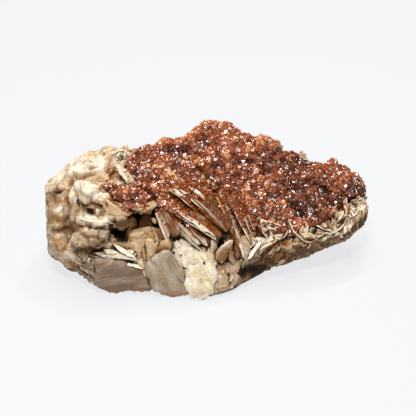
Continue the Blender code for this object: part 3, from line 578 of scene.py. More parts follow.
# Longer walls and splinters of the same barite edge the holes, the ledge's lip and the broad plates. They
# are plate ends too, each along a line of picture pixels: height, thickness, the way up, and the line.
UPRIGHT, FORWARD, OUTWARD = (0.0, -0.35, 1.0), (0.0, -0.8, 0.6), (0.3, -0.7, 0.6)
WALL_ROWS = 4
FIRST_WALL_SEED = 70
WALLS = {
    "hole_lip": (1.3, 0.4, OUTWARD, [
        (288, 219), (290, 227), (294, 233), (300, 239), (307, 243), (315, 241), (320, 235)]),
    "scallop_1": (0.9, 0.35, OUTWARD, [(273, 236), (278, 240), (284, 238), (288, 230)]),
    "scallop_2": (0.9, 0.35, OUTWARD, [(319, 237), (325, 232), (331, 235), (336, 228)]),
    "scallop_3": (0.9, 0.35, OUTWARD, [(332, 234), (340, 229), (345, 222), (347, 214)]),
    "scallop_4": (0.8, 0.35, OUTWARD, [(347, 214), (351, 218), (357, 213), (359, 205)]),
    "end_ridge": (0.7, 0.35, OUTWARD, [(350, 207), (354, 212), (359, 217)]),
    "end_ridge_2": (0.7, 0.35, OUTWARD, [(357, 200), (361, 207), (364, 216)]),
    "needle_1": (1.0, 0.4, UPRIGHT, [(269, 221), (274, 224), (280, 227)]),
    "needle_2": (0.9, 0.4, UPRIGHT, [(266, 225), (271, 229), (277, 231)]),
    "grey_rim_1": (0.9, 0.3, UPRIGHT, [(94, 256), (103, 260), (112, 261.5)]),
    "grey_rim_3": (0.8, 0.3, UPRIGHT, [(118, 262), (131, 266), (142, 271)]),
    "splinter_1": (1.2, 0.18, UPRIGHT, [(113, 245), (124, 251), (136, 258)]),
    "splinter_2": (1.3, 0.18, UPRIGHT, [(100, 253), (117, 254.5), (136, 259)]),
    "splinter_3": (1.0, 0.18, UPRIGHT, [(103, 249), (113, 254), (126, 258)]),
    "splinter_7": (1.2, 0.2, UPRIGHT, [(98, 256), (112, 257.5), (128, 260)]),
    "shell_rim": (0.4, 0.7, FORWARD, [(148, 268), (151, 261), (158, 256.5), (167, 253.5), (174, 257)]),
    "tongue_rim": (0.8, 0.6, FORWARD, [(173, 242), (173, 251), (179, 266), (189, 279)]),
    "lip_edge": (0.5, 0.9, FORWARD, [(77, 217), (85, 220), (95, 222.5), (104, 222), (111, 220)]),
}


def evened(line, rounds):
    """A line whose inner points have moved towards their neighbours."""
    for _ in range(rounds):
        line[1:-1] = (line[:-2] + 2 * line[1:-1] + line[2:]) / 4
    return line


def wall_over(tree, tall, thick, way_up, pixels, seed):
    """A thin wall that stands on a surface along a line of picture pixels, highest in the middle."""
    corners = np.array(pixels, float)
    runs = [np.linspace(a, b, 5, endpoint=False) for a, b in zip(corners[:-1], corners[1:])]
    line = evened(on_surface(tree, evened(np.concatenate(runs + [corners[-1:]]), 3)), 4)
    s = np.linspace(-1, 1, len(line))
    along = unit(np.gradient(line, axis=0))
    up = np.array(way_up) - along * (along @ np.array(way_up))[:, None]
    across = unit(np.cross(up, along))
    up = unit(up)
    t = np.linspace(0, 1, WALL_ROWS + 1)
    top = tall * (1 - 0.85 * s ** 4) * np.clip(0.8 + 0.8 * ripple(line, 1.3, seed), 0.25, 1.4)
    rise = -CREST_ROOT + t[None] * (top + CREST_ROOT)[:, None]
    half = (0.13 + 1.1 * thick * (1 - t[None])) * (1 - 0.5 * s ** 4)[:, None]
    middle = line[:, None] + rise[..., None] * up[:, None]
    sides = [(middle + side * half[..., None] * across[:, None]).reshape(-1, 3) for side in (1, -1)]
    free = np.tile(np.repeat(t[None] ** 3, len(line), 0).ravel(), 2)
    return np.concatenate(sides), closed_grid(np.arange(rise.size).reshape(rise.shape)), {"edge": free}


def together(parts):
    """Several (points, triangles, fields) as one."""
    counts = np.cumsum([0] + [len(part[0]) for part in parts])
    points = np.concatenate([part[0] for part in parts])
    triangles = np.concatenate([part[1] + n for part, n in zip(parts, counts)])
    fields = {key: np.concatenate([part[2][key] for part in parts]) for key in parts[0][2]}
    return points, triangles, fields


front_tree = tree_of(*together([(lump, lump_faces, {})] + [(*packed(n), {}) for n in neighbours])[:2])
standing = [wall_over(front_tree, *entry, FIRST_WALL_SEED + k) for k, entry in enumerate(WALLS.values())]
points, triangles, fields = together(standing)
rust = np.clip(0.6 * np.exp(-distance_to(crust_trees, points, 6.0) / 1.5), 0, 1)
show("barite_walls", points, triangles, weathered, "barite_rock", crisp=60,
     stain=rust * (1 - 0.5 * fields["edge"]), tone=0.25 * (1 - fields["edge"]), edge=fields["edge"])


# The blades are single tabular crystals of barite, stacked like the pages of a fanned book. Each is a pile
# of thin leaves that end one behind the other, chipped and white along the free edge, with a painted
# highlight there, and rusty further in.
LAYER_CELL = 0.42
SET_BACK = (0.35, 1.1)


def plane_of(points):
    """The middle of a flat solid and the way it faces, turned upwards."""
    middle = points.mean(0)
    facing = np.linalg.svd(points - middle, full_matrices=False)[2][2]
    return middle, facing if facing[2] > 0 else -facing


def hull(flat):
    """The corners round a set of points in a plane, counterclockwise."""
    ordered = sorted(map(tuple, flat.tolist()))

    def half(run):
        kept = []
        for p in run:
            while len(kept) > 1 and ((kept[-1][0] - kept[-2][0]) * (p[1] - kept[-2][1])
                                     - (kept[-1][1] - kept[-2][1]) * (p[0] - kept[-2][0])) <= 0:
                kept.pop()
            kept.append(p)
        return kept[:-1]

    return np.array(half(ordered) + half(ordered[::-1]))


def span_at(outline, u):
    """How far the outline reaches along its second axis at each value of its first."""
    least, most = np.full(len(u), np.inf), np.full(len(u), -np.inf)
    for a, b in zip(outline, np.roll(outline, -1, axis=0)):
        left, right = (a, b) if a[0] < b[0] else (b, a)
        hit = (u >= left[0] - 1e-9) & (u <= right[0] + 1e-9)
        t = (u - left[0]) / max(right[0] - left[0], 1e-9)
        v = left[1] + np.clip(t, 0, 1) * (right[1] - left[1])
        least = np.where(hit, np.minimum(least, v), least)
        most = np.where(hit, np.maximum(most, v), most)
    return least, most


def cleaved(u, v, spacing, tilt):
    """Small steps and tilts over a face, where layers of the crystal have split off along its cleavage."""
    count = max(4, int(np.ptp(u) * np.ptp(v) / spacing ** 2))
    seeds = np.stack([dice.uniform(u.min(), u.max(), count), dice.uniform(v.min(), v.max(), count)], 1)
    turn = dice.uniform(-0.5, 0.5, count)
    du, dv = u[..., None] - seeds[:, 0], v[..., None] - seeds[:, 1]
    over, down = du * np.cos(turn) - dv * np.sin(turn), du * np.sin(turn) + dv * np.cos(turn)
    own = (over ** 2 * 5 + down ** 2).argmin(-1)
    lean = dice.normal(0, tilt, (2, count))
    step = dice.normal(0, 1.2 * tilt, count)
    return step[own] + lean[0][own] * (u - seeds[own, 0]) + lean[1][own] * (v - seeds[own, 1])


def tabular(outline, middle, along, inward, thick, seed, steps=2, rag=0.10, warp=0.12, facets=None,
            tip=False, pillow=0.0):
    """A tabular crystal as a fine mesh. Its outline holds (along, inward) corners round the middle, and its
    free edge is the side with the lowest inward values. Gives points, triangles and the shading fields."""
    facing = np.cross(along, inward)
    low_u, high_u = outline[:, 0].min(), outline[:, 0].max()
    columns = max(8, int((high_u - low_u) / LAYER_CELL))
    rows = max(6, int(np.ptp(outline[:, 1]) / LAYER_CELL))
    u = np.linspace(low_u + 0.02, high_u - 0.02, columns + 1)
    start, end = span_at(outline, u)
    left = high_u - u
    if tip:
        inner = slice(columns // 4, -columns // 4)
        straight = np.polyval(np.polyfit(u[inner], start[inner], 1), u)
        start = np.minimum(start, straight + 0.25 * ease(-left, -0.6, 0))
        end = np.minimum(end, start + 0.5 + 1.1 * left)
    line = np.stack([u, np.full_like(u, seed * 3.1), np.zeros_like(u)], 1)
    start = start + rag * (ripple(line, 1.0, 5) + ripple(line, 2.8, 6)) * (end - start > 1.0)
    t = np.linspace(0, 1, rows + 1) ** 1.15
    grid_u = np.repeat(u[:, None], rows + 1, 1)
    grid_v = start[:, None] + t[None, :] * (end - start)[:, None]
    depth = grid_v - start[:, None]
    ends = np.minimum(grid_u - low_u, high_u - grid_u) * 1.2
    rim = np.minimum(np.minimum(depth, end[:, None] - grid_v), ends)
    places = np.stack([grid_u, grid_v, np.full_like(grid_u, seed * 7.7)], 2).reshape(-1, 3)
    shape = grid_u.shape
    bend = warp * ripple(places, 9.0, 7).reshape(shape)
    if facets:
        bend = bend + cleaved(grid_u, grid_v, *facets)
    swell = 0.5 + 0.5 * ripple(line, 3.5, 14)[:, None]
    half = 0.5 * thick * (0.42 + 0.33 * swell + 0.25 * ease(rim, 0.0, 2.5))
    if pillow:
        half = 0.55 * thick * np.sqrt(np.clip(rim / pillow, 0.02, 1))
    if tip:
        half = half * (0.35 + 0.65 * ease(left, 0, 0.3 * (high_u - low_u)))[:, None]
    sheets, edges = [], []
    for side in (1, -1):
        lift = half.copy()
        edge = 1 - ease(rim, 0.12, 0.55)
        for k in range(steps):
            back = dice.uniform(0.7, 1.3) + k * dice.uniform(1.2, 2.0)
            past = depth - back - 0.7 * ripple(places + 40 * (k + 1) * side, 5.0, 8).reshape(shape)
            lift += 0.14 * thick * ease(past, 0.0, 0.25)
            edge = np.maximum(edge, 0.6 * bell(past / 0.3))
        lift += 0.05 * thick * ripple(places * [0.25, 1.0, 1.0], 0.8, 9).reshape(shape)
        sheets.append(middle + grid_u[..., None] * along + grid_v[..., None] * inward
                      + (bend + side * lift)[..., None] * facing)
        edges.append(edge.ravel())
    points = np.concatenate([sheet.reshape(-1, 3) for sheet in sheets])
    streak = 0.7 * ripple(places * [0.2, 1.0, 1.0], 0.9, 29)
    streak += 0.7 * ripple(places * [0.12, 1.0, 1.0], 0.45, 39)
    fields = {"edge": np.concatenate(edges), "depth": np.tile(depth.ravel(), 2),
              "reach": np.tile(((grid_u - low_u) / (high_u - low_u)).ravel(), 2),
              "streak": np.tile(streak, 2), "upper": np.repeat([1.0, 0.0], depth.size)}
    return points, closed_grid(np.arange(depth.size).reshape(shape)), fields


def seen_crystal(pixels, place, facing, thick, seed, **options):
    """A flat crystal whose corners are where the sight lines through picture pixels meet its plane."""
    place, facing = np.array(place, float), unit(np.array(facing, float))
    rays = np.array([sight(pixel) for pixel in pixels])
    corners = EYE + rays * ((place - EYE) @ facing / (rays @ facing))[:, None]
    away = corners - place
    along = np.linalg.svd(away - away.mean(0), full_matrices=False)[2][0]
    inward = np.cross(facing, along)
    return tabular(np.stack([away @ along, away @ inward], 1), place, along, inward, thick, seed, **options)


def leaves_of(name, inward_hint, leaves, seed, **options):
    """The leaves of a packed blade, within its own outline and thickness."""
    solid = packed(name)[0]
    middle, facing = plane_of(solid)
    inward = np.array(inward_hint, float)
    inward = unit(inward - facing * inward.dot(facing))
    along = np.cross(inward, facing)
    away = solid - middle
    thick = np.ptp(away @ facing)
    outline = hull(np.stack([away @ along, away @ inward], 1))
    parts = []
    for k in range(leaves):
        share = (k + 0.5) / leaves - 0.5
        set_back = np.zeros(2) if k == leaves - 1 else np.array([0, dice.uniform(*SET_BACK)])
        place = middle + facing * thick * share * 0.9
        parts.append(tabular(outline + set_back, place, along, inward, 0.72 * thick / leaves,
                             seed + 0.3 * k, **options))
    return parts


# Clear to milky barite, freshly broken: glassy on its faces, with rust-coloured clay and painted shade
# between the leaves
stained = barite("iron_stained_barite", "#fdf4e0", "#cda168", "#5f3c17", "#7c4104", 0.36,
                 gloss=0.32, recess=2.5, spread=0.2, grit=0.5)

# A plain blade of the sheaf, and how the others differ from it: the way inward from the free edge, the
# number of leaves, stain, how pale the tip stays, the share of its length from which it is rusty all over,
# clay on it, and the stretch over which the white free edge begins
PLAIN_BLADE = {"inward": (0.22, 0.95, 0.1), "leaves": 2, "stain": 1.5, "pale_tip": 0.3, "rusty_from": 2.0,
               "film": 0.0, "edge_from": (-2, -1)}
OWN_WAYS = {
    "fan_blade_1": {"inward": (0.7, 0.7, 0.1), "leaves": 1, "stain": 0.4, "film": 0.15},
    "fan_blade_2": {"inward": (0.42, 0.9, 0.02), "pale_tip": 0.9},
    "fan_blade_3": {"inward": (0.3, 0.94, 0.05), "pale_tip": 0.95},
    "fan_blade_4": {"leaves": 1, "pale_tip": 0.85},
    "fan_blade_5": {"rusty_from": 0.3},
    "fan_blade_6": {"rusty_from": 0.6},
    "fan_blade_7": {"rusty_from": 0.36},
    "fan_blade_8": {"pale_tip": 0.8, "edge_from": (0.1, 0.4)},
    "fan_blade_9": {"pale_tip": 0.7, "rusty_from": 0.8, "edge_from": (0.4, 0.75)},
    "stem_blade": {"inward": (0.85, 0.5, 0.0), "stain": 0.2, "film": 0.2},
    "leaf_blade": {"inward": (0.75, 0.6, -0.1), "leaves": 1, "stain": 0.5},
}
# The two blades that are seen face on, as corners in picture pixels
FRONT_OUTLINES = {
    "leaf_blade": [(215.5, 259), (217, 252.5), (222.5, 245.5), (228, 241.5), (233, 240), (232, 246),
                   (229, 253), (226, 260), (221, 263)],
    "stem_blade": [(211, 240), (213.5, 238), (217, 240), (217.5, 250), (216.5, 260), (213, 263),
                   (211, 252)],
}
FACE_ON = {"steps": 1, "rag": 0.25, "warp": 0.2, "facets": (1.8, 0.08), "pillow": 0.4}
FRONT_THICKNESS = 0.9
sheaf_surfaces = []
for number, name in enumerate(n for n in blade_names if not n.endswith("plate")):
    own = PLAIN_BLADE | OWN_WAYS.get(name, {})
    pile = leaves_of(name, own["inward"], own["leaves"], number + 1, tip=name.startswith("fan"))
    if name in FRONT_OUTLINES:
        middle, way = plane_of(packed(name)[0])
        pile = [seen_crystal(FRONT_OUTLINES[name], middle, way * np.sign(way @ TO_CAMERA), FRONT_THICKNESS,
                             number + 1, **FACE_ON)]
    points, triangles, fields = together(pile)
    points = np.clip(points, low, high)
    chipped = ease(ripple(points, 1.6, 36), -0.35, 0.15)
    rusty = ease(fields["reach"], own["rusty_from"], own["rusty_from"] + 0.2)
    stain = own["stain"] * ease(fields["depth"], 0.15, 0.8) * (0.6 + 0.4 * fields["upper"])
    stain *= (1 + 0.7 * fields["streak"]) * (1 - own["pale_tip"] * ease(fields["reach"], 0.5, 0.85))
    edge = fields["edge"] * (0.25 + 0.75 * chipped) * ease(fields["reach"], *own["edge_from"])
    show(name + "_leaves", points, triangles, stained, "barite_blades", [name], 40,
         stain=stain + 0.7 * rusty, tone=own["film"] * (1 - fields["edge"]), edge=edge * (1 - 0.75 * rusty))
    sheaf_surfaces.append((points, triangles, {}))


# Thinner sheets of barite stand between the blades and die out into the lump. Each has a straight free
# edge: its two ends, the way in, how deep it goes, its thickness, and its stain.
SHEETS = {
    "left_of_8": [(2.9, -10.6, 27.2), (6.2, -13.4, 22.4), (0.3, 0.94, 0.1), 4.5, 0.35, 0.8],
    "right_of_9": [(11.2, -13.4, 22.4), (13.4, -15.6, 17.8), (0.3, 0.94, 0.1), 5.0, 0.45, 0.3],
    "far_right": [(12.4, -12.0, 22.4), (14.6, -15.0, 18.4), (0.2, 0.96, 0.1), 4.0, 0.35, 0.3],
}
FIRST_SHEET_SEED = 40


def free_sheet(start, end, inward_hint, deep, thick, seed):
    """A sheet that hangs on its straight free edge, narrower further in."""
    start, end, inward = (np.array(v, float) for v in (start, end, inward_hint))
    length = np.linalg.norm(end - start)
    along = (end - start) / length
    inward = unit(inward - along * inward.dot(along))
    outline = np.array([(0, 0.5), (0.1 * length, 0), (0.5 * length, -0.25), (0.9 * length, 0),
                        (length, 0.6), (0.9 * length, deep), (0.1 * length, deep)])
    return tabular(outline, start, along, inward, thick, seed, steps=1, tip=True)


def marked(crystal, **marks):
    """A crystal with fields that are the same all over it, such as its clay and painted shade."""
    for key, value in marks.items():
        crystal[2][key] = np.full(len(crystal[0]), value)
    return crystal


between = [marked(free_sheet(*entry, FIRST_SHEET_SEED + k), rust=rust)
           for k, (*entry, rust) in enumerate(SHEETS.values())]
points, triangles, fields = together(between)
points = np.clip(points, low, high)
show("barite_sheets", points, triangles, stained, "barite_blades", crisp=40, edge=0.5 * fields["edge"],
     stain=1.5 * fields["rust"] * ease(fields["depth"], 0.15, 0.8) + 0.35, tone=np.zeros(len(points)))
sheaf_surfaces.append((points, triangles, {}))


# Where the sheaf's crystals broke across, their ends and faces lie open: white, tan or golden with iron.
# Each is seen nearly face on: how far ahead it lies, thickness, stain, clay and painted shade, cleanness,
# corners in pixels.
SHEAF_FACES = {
    "tan_face": (0.5, 0.7, 0.65, 0.3, 0.0, [
        (155.5, 209), (161, 208.5), (168, 215), (175, 223), (180.5, 231.5), (178, 236), (170, 237),
        (163, 233), (158.5, 224.5), (155.5, 216)]),
    "grey_strip": (0.6, 0.5, 0.2, 0.1, 0.7, [
        (157.5, 202), (161, 203), (165, 207.5), (170, 213.5), (168.5, 215.5), (163, 210.5),
        (158, 205.5)]),
    "wedge": (0.5, 0.9, 0.3, 0.1, 0.6, [
        (170.2, 219.5), (176, 221), (184, 227), (192, 234.5), (201, 243.5), (197, 246.5), (189, 242.5),
        (181, 235), (175, 227.5)]),
    "inner_face": (0.2, 0.7, 0.9, 0.3, 0.0, [
        (182, 217.5), (190, 223.5), (200, 231), (212, 240), (208, 247), (200, 243), (192, 234),
        (186, 226)]),
    "white_band": (1.3, 0.7, 0.25, 0.0, 0.9, [
        (176, 209), (184, 213.5), (190, 218), (195, 220), (206, 228), (216, 236.5), (206, 231.5),
        (200, 229), (193, 223.5), (186, 218.5), (180, 213.5)]),
    "golden_face": (1.2, 0.7, 1.0, 0.2, 0.0, [
        (189, 210), (196, 212), (206, 218), (216, 226), (222.5, 233), (221, 237), (215, 235.5),
        (206, 228.5), (196, 221.5), (190, 217)]),
    "golden_face_2": (1.0, 0.6, 0.9, 0.2, 0.1, [
        (198, 208), (204, 211), (213, 218), (221, 226), (220, 229), (212, 223), (203, 216)]),
    "light_edge": (1.3, 0.5, 0.5, 0.0, 0.7, [
        (193, 199), (197, 200.5), (205, 207), (213, 214.5), (222, 223), (224.5, 228.5), (221, 227),
        (213, 218.5), (205, 210.5), (198, 203.5)]),
    # Painted shade: this face lies in the shade under the blade above it
    "dark_face": (0.7, 0.4, 0.6, 1.0, 0.0, [
        (202, 201), (210, 198), (219, 202), (227, 211), (232, 221), (230, 231), (221, 223.5), (212, 215),
        (204, 207)]),
    "right_band": (0.7, 0.5, 0.3, 0.0, 0.7, [
        (218.5, 192.5), (221.5, 194.5), (229.5, 207), (235.5, 219.5), (239.5, 233), (243, 246),
        (244, 257), (242.5, 258), (239.5, 247), (235.5, 233), (231.5, 221), (226, 209)]),
    "right_face": (0.3, 0.5, 0.8, 0.2, 0.2, [
        (226, 219), (230, 221), (234, 231), (237, 243), (239, 256), (236, 261), (232.5, 253), (233, 243),
        (229, 235), (225.5, 227)]),
    "right_grey": (0.6, 0.5, 0.2, 0.4, 0.3, [
        (231, 240), (234, 244), (236, 252), (237, 262), (232, 264), (229, 258)]),
    "tip_1": (0.9, 0.6, 0.0, 0.0, 1.0, [
        (168.5, 190.5), (173, 188.5), (178, 191), (185, 197), (183.5, 199.5), (177, 196),
        (171.5, 192.5)]),
    "tip_1b": (0.8, 0.4, 0.1, 0.0, 0.9, [(179, 189.5), (183, 190.5), (188, 193.5), (184, 194)]),
    "tip_2": (0.9, 0.6, 0.1, 0.0, 0.9, [
        (190, 190), (195, 189.5), (200.5, 193), (203.5, 198.5), (199, 197.5), (194, 194)]),
    "corner": (0.8, 0.5, 0.9, 0.2, 0.0, [
        (215, 234), (221, 232.5), (222.5, 235), (219, 240), (216.5, 246), (215, 241)]),
    "root": (0.5, 0.9, 0.2, 0.0, 0.6, [
        (176, 243), (181, 238), (190, 242), (200, 246), (210, 247), (214, 252), (214, 262), (204, 264),
        (192, 264), (182, 262), (176, 258), (173, 250)]),
    "root_left": (0.9, 0.9, 0.15, 0.0, 1.0, [
        (173, 243), (177, 240), (182, 246), (185, 256), (188, 268), (183, 268), (177, 258)]),
    "root_right": (1.0, 0.8, 0.0, 0.0, 1.0, [
        (210.5, 239), (213, 237), (215.5, 240), (215.5, 250), (215, 258), (213, 259), (212, 250)]),
}
FIRST_FACE_SEED = 90


def laid_crystal(tree, pixels, ahead, thick, seed, **options):
    """A seen crystal on the plane that best fits the surface under its corners, a little ahead of it."""
    corners = np.array(pixels, float)
    middle = corners.mean(0)
    hits = on_surface(tree, np.concatenate([corners, 0.5 * (corners + middle), [middle]]))
    place = hits.mean(0)
    facing = np.linalg.svd(hits - place, full_matrices=False)[2][2]
    facing = unit(facing * np.sign(facing @ TO_CAMERA) + 0.7 * TO_CAMERA)
    return seen_crystal(pixels, place + ahead * TO_CAMERA, facing, thick, seed, **options)


def laid_group(table, seed, **options):
    """The laid crystals of a table as one mesh, each with its own stain, clay and painted shade, and
    cleanness.
    """
    made = []
    for k, (ahead, thick, rust, clay, clean, pixels) in enumerate(table.values()):
        crystal = laid_crystal(front_tree, pixels, ahead, thick, seed + k, pillow=0.5, **options)
        made.append(marked(crystal, rust=rust, clay=clay, clean=clean))
    return together(made)


points, triangles, fields = laid_group(SHEAF_FACES, FIRST_FACE_SEED, rag=0.3, warp=0.2, facets=(1.8, 0.06))
points = np.clip(points, low, high)
show("sheaf_faces", points, triangles, stained, "barite_blades", crisp=40,
     stain=fields["rust"] * (1 + 1.2 * fields["streak"]), tone=fields["clay"],
     edge=fields["clean"] * (1 + 0.8 * fields["streak"]))
sheaf_surfaces.append((points, triangles, {}))


# The hollow under the ledge is lined with blunt blades of the same barite, tan with clay and rough, which
# stand on the lump and lean on each other; those at the back carry painted shade. Each is a flat crystal
# seen nearly face on: a point of its plane, the way it faces, thickness, clay and painted shade,
# cleanness, and corners in picture pixels.
HOLLOW_BLADES = {
    "platform": ((-20.5, -17.6, 17.2), (0.05, -0.42, 0.9), 1.6, 0.15, 0.05, [
        (128, 239), (129, 233), (136, 230), (144, 228), (152, 227.5), (158, 229.5), (160.5, 234),
        (159, 243), (150, 245), (140, 244), (131, 243)]),
    "layer": ((-21.9, -18.5, 17.7), (-0.1, -0.6, 0.8), 0.8, 0.0, 0.6, [
        (129, 237), (131, 233.5), (138, 231.5), (145, 231), (144, 234.5), (137, 236.5), (131, 239)]),
    "point": ((-22.6, -20.9, 13.6), (-0.2, -0.9, 0.35), 1.8, 0.1, 0.2, [
        (121.5, 247), (126, 243.5), (134, 240), (142, 238.5), (147, 239.5), (147, 248), (142, 253),
        (131, 251.5)]),
    "post": ((-18.2, -22.4, 13.0), (0.1, -1, 0.2), 2.0, 0.0, 0.5, [
        (145.3, 241), (148, 238.3), (153, 239), (155.5, 244), (156.5, 254), (157, 261), (154, 267),
        (151, 272), (148, 271), (147, 258)]),
    "post_side": ((-16.6, -21.9, 13.0), (0.4, -0.9, 0.1), 1.0, 0.0, 0.3, [
        (153.5, 245), (157.5, 241), (159.5, 247), (159, 256), (157, 261), (154.5, 254)]),
    "line": ((-16.6, -18.4, 17.2), (-0.3, -0.9, 0.2), 0.8, 0.0, 0.6, [
        (154.5, 232.5), (156.5, 233.5), (160, 243), (158, 246), (155.5, 241)]),
    "slit_left": ((-21.8, -21.6, 11.5), (0.4, -0.85, 0.1), 1.0, 0.15, 0.2, [
        (136, 249), (140, 247), (142.5, 254), (143, 263), (138, 265), (136.5, 257)]),
    "slit_right": ((-20.2, -21.6, 11.5), (-0.4, -0.9, 0.1), 1.0, 0.3, 0.1, [
        (141.5, 248), (144.5, 246), (147.5, 254), (148.5, 266), (144, 266), (142.5, 257)]),
    "foot": ((-20.6, -23.4, 9.6), (-0.1, -0.9, 0.3), 1.4, 0.0, 0.5, [
        (136, 264), (138, 262), (143, 262), (147, 266), (150, 273), (145, 277), (139, 272)]),
    "grey_blade": ((-24.4, -14.0, 19.0), (0.45, -0.9, 0.1), 1.4, 0.5, 0.0, [
        (126.5, 219), (131, 215), (136, 218), (137.5, 226), (137, 241), (131, 242), (127.5, 240)]),
    "gold_facet": ((-20.0, -13.0, 20.5), (-0.1, -0.95, 0.3), 1.4, 0.9, 0.0, [
        (137.5, 230), (139, 221), (143, 214), (149, 212), (153, 217), (154, 230), (146, 232)]),
    "dark_facet": ((-14.8, -17.8, 17.2), (-0.35, -0.8, 0.4), 1.4, 0.5, 0.0, [
        (155.5, 231), (162, 229), (168, 231), (168, 238), (165.5, 244), (160, 242), (157, 236)]),
    "low_facet": ((-14.4, -21.8, 12.6), (-0.2, -0.95, 0.25), 1.6, 0.1, 0.1, [
        (157.5, 246), (161, 241), (168, 238.5), (172, 245), (170.5, 252), (165, 256.5), (159, 255)]),
    "brown_wing": ((-29.4, -16.6, 20.6), (0.3, -0.9, 0.2), 1.2, 0.6, 0.1, [
        (111, 215), (120, 214), (128, 216), (130, 224), (124, 230), (120, 231), (114, 226)]),
    "ledge_tip": ((-29.6, -17.6, 25.4), (-0.15, -0.75, 0.6), 1.7, 0.15, 0.5, [
        (105, 199), (109, 200), (113, 204), (121, 208), (129, 207.5), (132, 213), (129, 216.5),
        (122, 216), (117, 218.5), (110.5, 215), (108, 207)]),
    "ledge_edge": ((-21.5, -19.2, 26.8), (0.0, -0.8, 0.5), 1.5, 0.2, 0.2, [
        (124, 203), (136, 206), (147, 208), (156, 202), (158, 206), (151, 210), (144, 212), (134, 210),
        (126, 208)]),
    "nub": ((-17.6, -16.0, 21.5), (-0.2, -0.9, 0.3), 1.0, 0.1, 0.3, [
        (151, 218), (154, 217), (157, 220), (156, 224), (152, 222.5)]),
}
# Iron spots in the hollow, as a reach about picture pixels
HOLLOW_RUST = [
    (0.8, [(145.5, 231.5), (147, 234)]), (0.6, [(168, 249), (168.5, 251)]),
    (0.7, [(150, 229.5), (153, 231)]), (0.7, [(128, 212), (130, 213.5)]),
]
FIRST_HOLLOW_SEED = 60
# Barite under a film of tan clay, rougher and browner than the fresh faces of the sheaf
lining = barite("clay_coated_barite", "#e8d2ac", "#b48a5a", "#624016", "#a85c1e", 0.5, gloss=0.25,
                recess=1.8)

inside = []
for k, (place, way, thick, clay, clean, pixels) in enumerate(HOLLOW_BLADES.values()):
    crystal = seen_crystal(pixels, place, way, thick, FIRST_HOLLOW_SEED + k, rag=0.2, warp=0.25,
                           facets=(2.4, 0.05), pillow=0.45)
    inside.append(marked(crystal, clay=clay, clean=clean))
points, triangles, fields = together(inside)
blotch = np.clip(0.1 + 0.6 * ripple(points, 2.4, 15), 0, 0.6)
blotch = np.maximum(blotch, 0.9 * near_pixels(tree_of(points, triangles), points, HOLLOW_RUST))
edge = 0.5 * fields["edge"] * (1 - fields["clay"]) + fields["clean"] * (1 + 0.7 * fields["streak"])
points = np.clip(points, low, high)
show("rough_blades", points, triangles, lining, "barite_rock", crisp=40, stain=blotch, tone=fields["clay"],
     edge=edge)
sheaf_surfaces.append((points, triangles, {}))
hollow_points = len(points)


# Single blades of barite lie open beyond the sheaf too: by the ledge, in the right rim and its holes, and
# low on the front. They are laid like the sheaf's broken faces, on the rock that carries them.
OPEN_BLADES = {
    "book_blade": (0.7, 0.9, 0.2, 0.2, 0.2, [
        (115, 164.5), (120, 165.5), (129, 174), (137.5, 186.5), (134, 189), (127, 184), (119, 174)]),
    "splinter_1": (0.9, 0.7, 0.1, 0.0, 0.9, [
        (100, 256), (110, 253.5), (120, 253), (128, 256), (137, 259), (137, 261), (128, 260), (116, 259),
        (106, 260)]),
    "splinter_2": (1.2, 0.5, 0.0, 0.0, 1.0, [
        (113, 244.5), (118, 246), (126, 250.5), (133, 256), (136, 259), (128, 256), (119, 251)]),
    "splinter_3": (0.9, 0.5, 0.2, 0.1, 0.6, [
        (104, 249), (112, 249.5), (121, 253.5), (113, 255), (106, 253)]),
    "splinter_4": (0.8, 0.5, 0.0, 0.0, 1.0, [
        (99, 258.5), (112, 260), (126, 261.5), (139, 265), (142, 269), (130, 266), (116, 263),
        (104, 261.5)]),
    "splinter_5": (0.7, 0.5, 0.3, 0.2, 0.5, [(92, 252), (101, 252), (110, 256), (102, 257)]),
    "pale_root": (0.3, 0.9, 0.2, 0.2, 0.3, [
        (240, 236), (247, 234.5), (256, 238), (257, 242), (249, 255), (246, 260), (242, 258),
        (240, 248)]),
    "fold_top": (0.7, 0.7, 0.0, 0.0, 0.9, [
        (255, 237.5), (263, 238), (271, 236), (274, 240), (268, 243.5), (262, 243), (257, 241.5)]),
    "fold_low": (0.8, 0.8, 0.0, 0.0, 1.0, [
        (258, 240.5), (262.5, 242), (257, 250), (251, 258.5), (247.5, 260), (250, 253)]),
    "grey_knob": (0.5, 0.8, 0.1, 0.4, 0.1, [
        (249, 234), (251, 231), (256, 231.5), (257, 236), (253, 239), (249, 238)]),
    "triangle": (1.1, 0.6, 0.2, 0.0, 0.7, [
        (260.5, 218.5), (266, 221), (270, 228), (274, 237.5), (268, 238.5), (262, 231)]),
    "hole_blade_1": (0.9, 0.5, 0.5, 0.3, 0.3, [
        (299, 232), (302, 225), (305, 226), (303.5, 235), (301, 238)]),
    "hole_blade_2": (0.9, 0.5, 0.5, 0.3, 0.3, [(307, 235), (312, 226), (315, 228), (311, 239)]),
    "low_facet_1": (0.3, 0.5, 0.4, 0.4, 0.2, [
        (227, 263), (236, 258), (241, 262), (238, 272), (231, 276), (226, 270)]),
    "low_facet_2": (0.3, 0.5, 0.3, 0.4, 0.4, [
        (228, 277), (235, 272), (240, 275), (236, 284), (230, 287)]),
    "low_facet_3": (0.3, 0.5, 0.3, 0.4, 0.3, [
        (217, 274), (224, 272), (229, 278), (227, 288), (219, 289)]),
}
FIRST_OPEN_SEED = 80
points, triangles, fields = laid_group(OPEN_BLADES, FIRST_OPEN_SEED, rag=0.25, warp=0.3, facets=(1.8, 0.08))
show("open_blades", points, triangles, weathered, "barite_rock", crisp=45,
     stain=fields["rust"] + 0.4 * fields["streak"], tone=fields["clay"],
     edge=fields["clean"] * (1 + 0.8 * fields["streak"]))


# The three broad plates low on the front are larger crystals of the same barite, seen face on. They are
# satiny, split in steps along the cleavage, rounded at their edges, and darker where clay clings to them
# and, as painted shade, on the plates that face down.
PLATE_CELL = 0.4
PLATE_SMOOTHING = 4
SPLIT_SPACING, SPLIT_TILT = 3.4, 0.06
RIB_SPACING = 1.1
